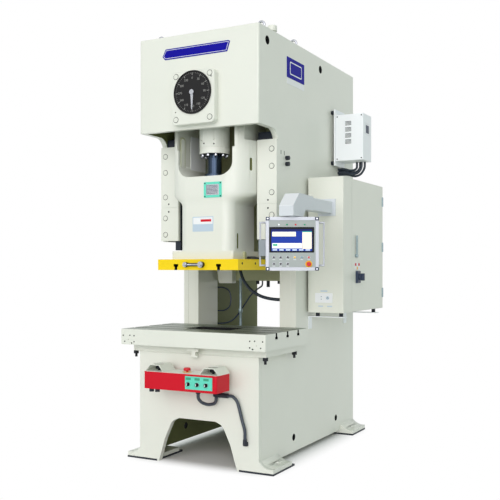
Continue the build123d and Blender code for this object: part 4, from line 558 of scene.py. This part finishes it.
# Shadow gaps round the bolt heads, and paint in their sockets
BOLT_GAP = (17.2, 20.5)
SOCKET_RADIUS = 9.4
cover_bolts = [(side * 440, height) for side in (-1, 1) for height in (1607, 1728, 1884, 2066, 2185)]
dial_bolts = [(side * 135, height) for side in (-1, 1) for height in (2379, 2675)]
bolt_groups = (("cover", COVER_FACE, cover_bolts), ("dial", DIAL_PLATE_FACE, dial_bolts))
for name, depth, centres in bolt_groups:
    rings(f"{name}_bolt_gaps", front(depth), centres, *BOLT_GAP, "frame", GAP_SHADE)
for name, depth, centres in bolt_groups:
    sockets = [disc(u, v, SOCKET_RADIUS, 6) for u, v in centres]
    pads(f"{name}_bolt_sockets", front(depth), sockets, -3, 2.4, "frame", CREAM)

# Dowel, screw and tap holes, as thin discs in painted shade
dowels = [disc(side * 411, v, 6.5, 20) for side in (-1, 1) for v in (1776, 1832)]
pads("cover_dowel_holes", front(COVER_FACE), dowels, -1, 0.25, "frame", RECESS_SHADE)
BOLSTER_HOLES = ((555, 884), (541, 842), (497, 886), (461, 884), (461, 842), (481, 832))
bolster_holes = [disc(side * x, height, 5, 16) for side in (-1, 1) for x, height in BOLSTER_HOLES]
pads("bolster_screw_holes", front(BOLSTER_FRONT), bolster_holes, -1, 0.3, "frame", RECESS_SHADE)
dial_pins = [disc(-138, 2431, 4.5, 16), disc(146, 2652, 4.5, 16)]
pads("dial_plate_pins", front(DIAL_PLATE_FACE), dial_pins, -1, 0.3, "frame", RECESS_SHADE)
side_pins = [rounded(u - 4, u + 4, 2152, 2182, 3) for u in (336, 388)]
pads("side_plate_pins", crown_side, side_pins, -1, 0.4, "frame", GAP_SHADE)
plate_taps = [disc(u, 1392, 8.5, 20) for u in (60, 250)]
pads("slide_plate_taps", right(SLIDE_PLATE_SIDE), plate_taps, -1, 0.4, "slide", RECESS_SHADE)

# Rubber strips under the feet, made black and tall enough to stand for their contact shadow as well, a clamp and a
# lug on the slide, sunk half a millimetre at their seat, and the cylinder's two ports as discs in painted shade
STRIP_XS = (329.2, 585.8)
STRIP_DEPTHS = ((-0.8, 330.8), (1449.2, 1740.8))
foot_strips_and_painted_shadow = [[(side * STRIP_XS[0], near), (side * STRIP_XS[1], near), (side * STRIP_XS[1], far),
                (side * STRIP_XS[0], far)] for side in (-1, 1) for near, far in STRIP_DEPTHS]
pads("foot_strips_and_painted_shadow", top(0), foot_strips_and_painted_shadow, 0, 13, "frame", RUBBER)
clamp = [(196, CLAMP_SEAT), (322, CLAMP_SEAT), (322, 1433), (262, 1441), (206, 1441), (196, 1432)]
pads("die_clamp", right(284), [clamp], 0, 32, "slide", BLACK_STEEL, 2)
lug = [(206, CLAMP_SEAT), (234, CLAMP_SEAT), (234, 1462), (226, 1474), (206, 1474)]
pads("slide_foot_lug", right(249), [lug], -0.5, 13, "slide", OLIVE_SHADE, 1.5)
for side, u, v in (("left", -25, 2236), ("right", 48, 2231)):
    depth = AXIS_DEPTH - math.sqrt(CYLINDER_RADIUS ** 2 - u ** 2)
    pads(f"cylinder_port_{side}", front(depth + 1.5), [disc(u, v, 6, 20)], -2, 2.4, "frame", RECESS_SHADE)

# Operator panel: the screen and its lit fields
SCREEN_LEFT, SCREEN_RIGHT, SCREEN_LOW, SCREEN_HIGH = -138, 131, 1473, 1617
SCREEN_WIDTH, SCREEN_HEIGHT = SCREEN_RIGHT - SCREEN_LEFT, SCREEN_HIGH - SCREEN_LOW
bezel = [rounded(-152.6, 145.6, 1462.4, 1631.6, 3)]
pads("screen_bezel", panel(SCREEN_FACE), bezel, -0.5, 2.2, "panel", PLASTIC, 0.8)


def window(name, share, finish, lift):
    """Lit field of the screen, given as shares of its width and of its height from the top."""
    u0, u1, v0, v1 = share
    field = rounded(SCREEN_LEFT + u0 * SCREEN_WIDTH, SCREEN_LEFT + u1 * SCREEN_WIDTH,
                    SCREEN_HIGH - v1 * SCREEN_HEIGHT, SCREEN_HIGH - v0 * SCREEN_HEIGHT, 0.6, 1)
    pads(name, panel(SCREEN_FACE), [field], 2, lift, "panel", finish)


window("screen_field", (0, 1, 0, 1), glowing("screen_blue", (24, 54, 150), 0.35), 2.5)
window("screen_title", (0, 1, 0, 0.09), glowing("screen_navy", (18, 30, 92), 0.3), 2.8)
window("screen_readout", (0.02, 0.6, 0.12, 0.33), glowing("screen_cream", (232, 230, 206), 0.45), 2.8)
window("screen_band", (0.02, 0.75, 0.64, 0.88), glowing("screen_white", (236, 240, 244), 0.5), 2.8)
window("screen_column", (0.76, 0.99, 0.14, 0.9), glowing("screen_sand", (238, 226, 206), 0.45), 2.8)
window("screen_column_head", (0.76, 0.99, 0.09, 0.14), glowing("screen_teal", (60, 150, 150), 0.4), 2.9)
window("screen_chip", (0.04, 0.15, 0.68, 0.77), glowing("screen_green", (40, 160, 120), 0.45), 3.0)
soft_keys = [rounded(SCREEN_LEFT + (0.03 + 0.162 * k) * SCREEN_WIDTH, SCREEN_LEFT + (0.14 + 0.162 * k) * SCREEN_WIDTH,
                     SCREEN_LOW + 0.02 * SCREEN_HEIGHT, SCREEN_LOW + 0.08 * SCREEN_HEIGHT, 0.6, 1) for k in range(6)]
pads("screen_keys", panel(SCREEN_FACE), soft_keys, 2, 2.9, "panel",
     glowing("screen_keys_white", (200, 214, 236), 0.4))

# Operator panel: lamps, keys, the stop button's ring, side rails and corner screws
LAMP_HEIGHT = 1647
LAMPS = ((-89, (244, 248, 248)), (-35, (24, 140, 96)), (22, (214, 34, 46)), (82, (24, 140, 96)))
STOP_PLACE = (109, 1386)
board = panel(PANEL_FACE)
for number, (u, colour) in enumerate(LAMPS, 1):
    lens = [disc(u, LAMP_HEIGHT, 5.6, 24)]
    pads(f"lamp_lens_{number}", board, lens, 3, 5.6, "panel", glowing(f"lamp_{number}", colour, 0.25), 1.6)
key_colours = {"dark": (46, 48, 52), "black": (20, 21, 24), "yellow": (236, 190, 60), "slate": (104, 138, 146),
               "red": (206, 62, 52)}
key_finish = {name: material(f"key_{name}", colour, rough=0.38, coat=0.2, grain=1200)
              for name, colour in key_colours.items()}
KEY_XS = (-122, -77, -30, 16, 63, 109)
KEY_ROWS = ((1431, ("dark", "black", "black", "yellow", "slate", "red")), (1388, ("dark", "black", "black")))
keys = [(u, v, name) for v, names in KEY_ROWS for u, name in zip(KEY_XS, names)]
for number, (u, v, name) in enumerate(keys, 1):
    pads(f"key_cap_{number}", board, [disc(u, v, 7.2, 24)], 5, 8, "panel", key_finish[name], 1.2)
pads("key_bezels", board, [disc(u, v, 10, 28) for u, v, _ in keys], -0.5, 2, "panel", BRIGHT, 1)
key_labels = [rounded(u - 9, u + 9, v - 17, v - 14, 1) for u, v, _ in keys]
pads("key_labels", board, key_labels, -0.5, 0.3, "panel", PAPER)
rings("panel_stop_ring", board, [STOP_PLACE], 7.2, 23, "panel", STOP_YELLOW, 1.5)
for name, middle in (("left", -165), ("right", 165)):
    rail = [rounded(middle - 11, middle + 11, *PANEL_HEIGHTS, 3)]
    pads(f"panel_side_rail_{name}", board, rail, -0.5, 2.5, "panel", RAIL, 1)
corner_screws = [disc(side * 163, v, 6, 20) for side in (-1, 1) for v in (1354, 1687)]
pads("panel_corner_screws", panel(PANEL_FACE - 8), corner_screws, -0.5, 1.5, "panel", BRIGHT, 0.8)

# Cabinet: the socket on its front, and the door's label and hinges
SOCKET = (656, 1141)
CONTACTS = ((606, 1150), (606, 1132))
cabinet_front, door = front(CABINET_FACE), right(DOOR_FACE)
pads("socket_plate", cabinet_front, [rounded(556, 693, 1105, 1176, 5)], -0.5, 5, "frame", PAPER, 1.5)
inserts = [disc(*SOCKET, 13, 28)] + [disc(*contact, 4, 16) for contact in CONTACTS]
pads("socket_inserts", cabinet_front, inserts, 4, 6, "frame", PALE_BLUE, 0.8)
socket_holes = [disc(SOCKET[0] + du, SOCKET[1] + dv, 2.2, 12) for du, dv in ((0, 5), (-5, -3), (5, -3))]
socket_holes += [disc(*contact, 2.6, 12) for contact in CONTACTS]
# The socket's holes in painted shade
pads("socket_holes", cabinet_front, socket_holes, 5, 6.4, "frame", RECESS_SHADE)
socket_labels = [rounded(598, 652, 1186, 1196, 2), rounded(580, 618, 1076, 1084, 2),
                 rounded(650, 690, 1076, 1084, 2)]
pads("socket_labels", cabinet_front, socket_labels, -0.5, 0.5, "frame", PALE_BLUE)
pads("door_label", door, [rounded(988, 1094, 1346, 1400, 2)], -0.3, 0.6, "door", PAPER, 0.3)
label_tabs = [rounded(990, 1022, 1377, 1397, 1), rounded(1060, 1092, 1377, 1397, 1)]
pads("door_label_tabs", door, label_tabs, 0, 0.9, "door", RED)
pads("door_label_centre", door, [rounded(1028, 1054, 1349, 1371, 1)], 0, 0.9, "door", STOP_YELLOW)
hinges = [rounded(1612, 1632, v - 38, v + 38, 3) for v in (1160, 1530, 1900)]
pads("door_hinges", door, hinges, -0.5, 7, "door", ZINC, 2)

# Drive box
drive_front, drive_side = front(DRIVE_FACE), right(DRIVE_SIDE)
vents = [rounded(601, 651, 2340 + 48 * block + 9 * line, 2345 + 48 * block + 9 * line, 1.5, 2)
         for block in range(4) for line in range(4)]
# Vents as shallow slots in painted shade
pads("drive_vents", drive_front, vents, -7, -2, "frame", RECESS_SHADE)
pads("drive_side_display", drive_side, [rounded(1290, 1390, 2408, 2502, 4)], -9, -5, "frame", PLASTIC)
pads("drive_side_key_strip", drive_side, [rounded(1306, 1374, 2424, 2486, 4)], -5.5, 0.6, "frame", NAVY, 1)
drive_screws = [disc(u, v, 5, 16) for u in (534, 736) for v in (2222, 2556)]
pads("drive_screws", drive_front, drive_screws, -0.5, 1.5, "frame", PLASTIC, 0.8)

# Control box
switches = front(SWITCH_FACE)
for name, u in zip(("key_selector", "mode_selector", "pump_selector"), SELECTOR_XS):
    line = [rounded(u - 2.4, u + 2.4, SELECTOR_HEIGHT - 8, SELECTOR_HEIGHT + 8, 1.5, 3)]
    pads(f"{name}_mark", front(KNOB_FACE), line, -0.5, 0.5, name, PAPER)
rings("switch_bezels", switches, [(u, SELECTOR_HEIGHT) for u in SELECTOR_XS], 6.6, 14, "frame", PAPER, 0.35)
pads("switch_labels", switches, [rounded(u - 20, u + 20, 624, 640, 2) for u in SELECTOR_XS], -0.3, 0.6, "frame",
     material("label_green", (52, 156, 122), grain=1200))
rings("stop_button_ring", top(BOX_TOP), [(10, -140)], 8.6, 32, "frame", STOP_YELLOW, 1.2)

# Welds where the frame's plates meet
LID_SEAM = 768
COLUMN_FRONT = 583
bead("weld_lid_left", [(-SIDE_FACE, 2, LID_SEAM), (-SIDE_FACE, COLUMN_FRONT, LID_SEAM)], 4)
bead("weld_lid_right", [(SIDE_FACE, 2, LID_SEAM), (SIDE_FACE, COLUMN_FRONT, LID_SEAM)], 4)
bead("weld_lid_front", [(-478, 0, LID_SEAM), (478, 0, LID_SEAM)], 4)
for tag, side in (("left", -1), ("right", 1)):
    column, plate = side * COLUMN_INNER, side * SIDE_INNER
    bead(f"weld_column_{tag}", [(column, COLUMN_FRONT, BED_TOP), (column, 876, BED_TOP)], 5)
    bead(f"weld_column_front_{tag}", [(column, COLUMN_FRONT, BED_TOP), (plate, COLUMN_FRONT, BED_TOP)], 5)
    bead(f"weld_crown_{tag}", [(plate, 40, 2330), (plate, 40, 2940)], 5)

# Stage, lights and camera. From here on lengths are in metres.
FLOOR_HALF = 30
FLOOR_HEIGHT = -0.0004
floor_corners = [(x * FLOOR_HALF, y * FLOOR_HALF, FLOOR_HEIGHT) for x, y in ((-1, -1), (1, -1), (1, 1), (-1, 1))]
floor_mesh = bpy.data.meshes.new("floor")
floor_mesh.from_pydata(floor_corners, [], [(0, 1, 2, 3)])
floor = bpy.data.objects.new("floor", floor_mesh)
bpy.context.scene.collection.objects.link(floor)

# Half the floor the machine stands on, and how far from it the floor turns from shadowed to plain white
FOOTPRINT = (0.42, 0.74, 1)
FADE = (0.0, 0.24)


def floor_material():
    """Pale floor that shows shadows near the machine and fades into the white background further out."""
    made = bpy.data.materials.new("studio_floor")
    made.use_nodes = True
    tree = made.node_tree
    add, link = tree.nodes.new, tree.links.new
    shader = tree.nodes["Principled BSDF"]
    shader.inputs["Base Color"].default_value = (0.92, 0.92, 0.92, 1)
    shader.inputs["Roughness"].default_value = 0.9
    shader.inputs["Specular IOR Level"].default_value = 0.0
    white = add("ShaderNodeEmission")
    white.inputs["Color"].default_value = (1, 1, 1, 1)
    place = add("ShaderNodeTexCoord")
    across = add("ShaderNodeVectorMath")
    across.operation = "ABSOLUTE"
    link(place.outputs["Object"], across.inputs[0])
    beyond = add("ShaderNodeVectorMath")
    beyond.operation = "SUBTRACT"
    beyond.inputs[1].default_value = FOOTPRINT
    link(across.outputs["Vector"], beyond.inputs[0])
    outside = add("ShaderNodeVectorMath")
    outside.operation = "MAXIMUM"
    outside.inputs[1].default_value = (0, 0, 0)
    link(beyond.outputs["Vector"], outside.inputs[0])
    reach = add("ShaderNodeVectorMath")
    reach.operation = "LENGTH"
    link(outside.outputs["Vector"], reach.inputs[0])
    fade = add("ShaderNodeMapRange")
    fade.interpolation_type = "SMOOTHSTEP"
    fade.inputs["From Min"].default_value = FADE[0]
    fade.inputs["From Max"].default_value = FADE[1]
    link(reach.outputs["Value"], fade.inputs["Value"])
    path = add("ShaderNodeLightPath")
    seen = add("ShaderNodeMath")
    seen.operation = "MAXIMUM"
    link(path.outputs["Is Camera Ray"], seen.inputs[0])
    link(path.outputs["Is Glossy Ray"], seen.inputs[1])
    amount = add("ShaderNodeMath")
    amount.operation = "MULTIPLY"
    link(fade.outputs["Result"], amount.inputs[0])
    link(seen.outputs["Value"], amount.inputs[1])
    mix = add("ShaderNodeMixShader")
    link(amount.outputs["Value"], mix.inputs["Fac"])
    link(shader.outputs["BSDF"], mix.inputs[1])
    link(white.outputs["Emission"], mix.inputs[2])
    link(mix.outputs["Shader"], tree.nodes["Material Output"].inputs["Surface"])
    return made


floor_mesh.materials.append(floor_material())


def studio_world(level):
    """Even, slightly green light, with a white background where the camera, gloss or glass sees it."""
    world = bpy.data.worlds.new("studio")
    world.use_nodes = True
    bpy.context.scene.world = world
    tree = world.node_tree
    add, link = tree.nodes.new, tree.links.new
    light = tree.nodes["Background"]
    light.inputs["Color"].default_value = (0.86, 1.0, 0.95, 1)
    light.inputs["Strength"].default_value = level
    white = add("ShaderNodeBackground")
    white.inputs["Color"].default_value = (1, 1, 1, 1)
    path = add("ShaderNodeLightPath")
    first, second = add("ShaderNodeMath"), add("ShaderNodeMath")
    first.operation = second.operation = "MAXIMUM"
    link(path.outputs["Is Camera Ray"], first.inputs[0])
    link(path.outputs["Is Glossy Ray"], first.inputs[1])
    link(first.outputs["Value"], second.inputs[0])
    link(path.outputs["Is Transmission Ray"], second.inputs[1])
    mix = add("ShaderNodeMixShader")
    link(second.outputs["Value"], mix.inputs["Fac"])
    link(light.outputs["Background"], mix.inputs[1])
    link(white.outputs["Background"], mix.inputs[2])
    link(mix.outputs["Shader"], tree.nodes["World Output"].inputs["Surface"])


SUN_DISTANCE = 8


def sun_light(name, azimuth, elevation, strength, spread, colour):
    """Broad, even light from far away; azimuth 0 is the front, and a positive one is on the machine's right."""
    lamp = bpy.data.lights.new(name, "SUN")
    lamp.energy = strength
    lamp.angle = math.radians(spread)
    lamp.color = colour
    piece = bpy.data.objects.new(name, lamp)
    bpy.context.scene.collection.objects.link(piece)
    side, rise = math.radians(azimuth), math.radians(elevation)
    source = Vector((math.sin(side) * math.cos(rise), -math.cos(side) * math.cos(rise), math.sin(rise)))
    piece.location = source * SUN_DISTANCE
    piece.rotation_euler = (-source).to_track_quat("-Z", "Y").to_euler()


studio_world(0.5)
sun_light("key", 6, 14, 1.75, 60, (1.0, 0.935, 0.96))
sun_light("fill", 34, 5, 0.6, 46, (1.0, 0.97, 0.98))

# The photograph's camera, solved from the frame's straight edges
camera = bpy.data.cameras.new("camera")
camera.lens = 57.757
camera.sensor_width = 36
camera.shift_y = 0.036
camera_object = bpy.data.objects.new("camera", camera)
bpy.context.scene.collection.objects.link(camera_object)
camera_object.location = (2.9112, -5.5608, 1.3604)
camera_object.rotation_euler = (math.pi / 2, 0, math.radians(28.037))
bpy.context.scene.camera = camera_object
bpy.context.scene.view_settings.view_transform = "Standard"
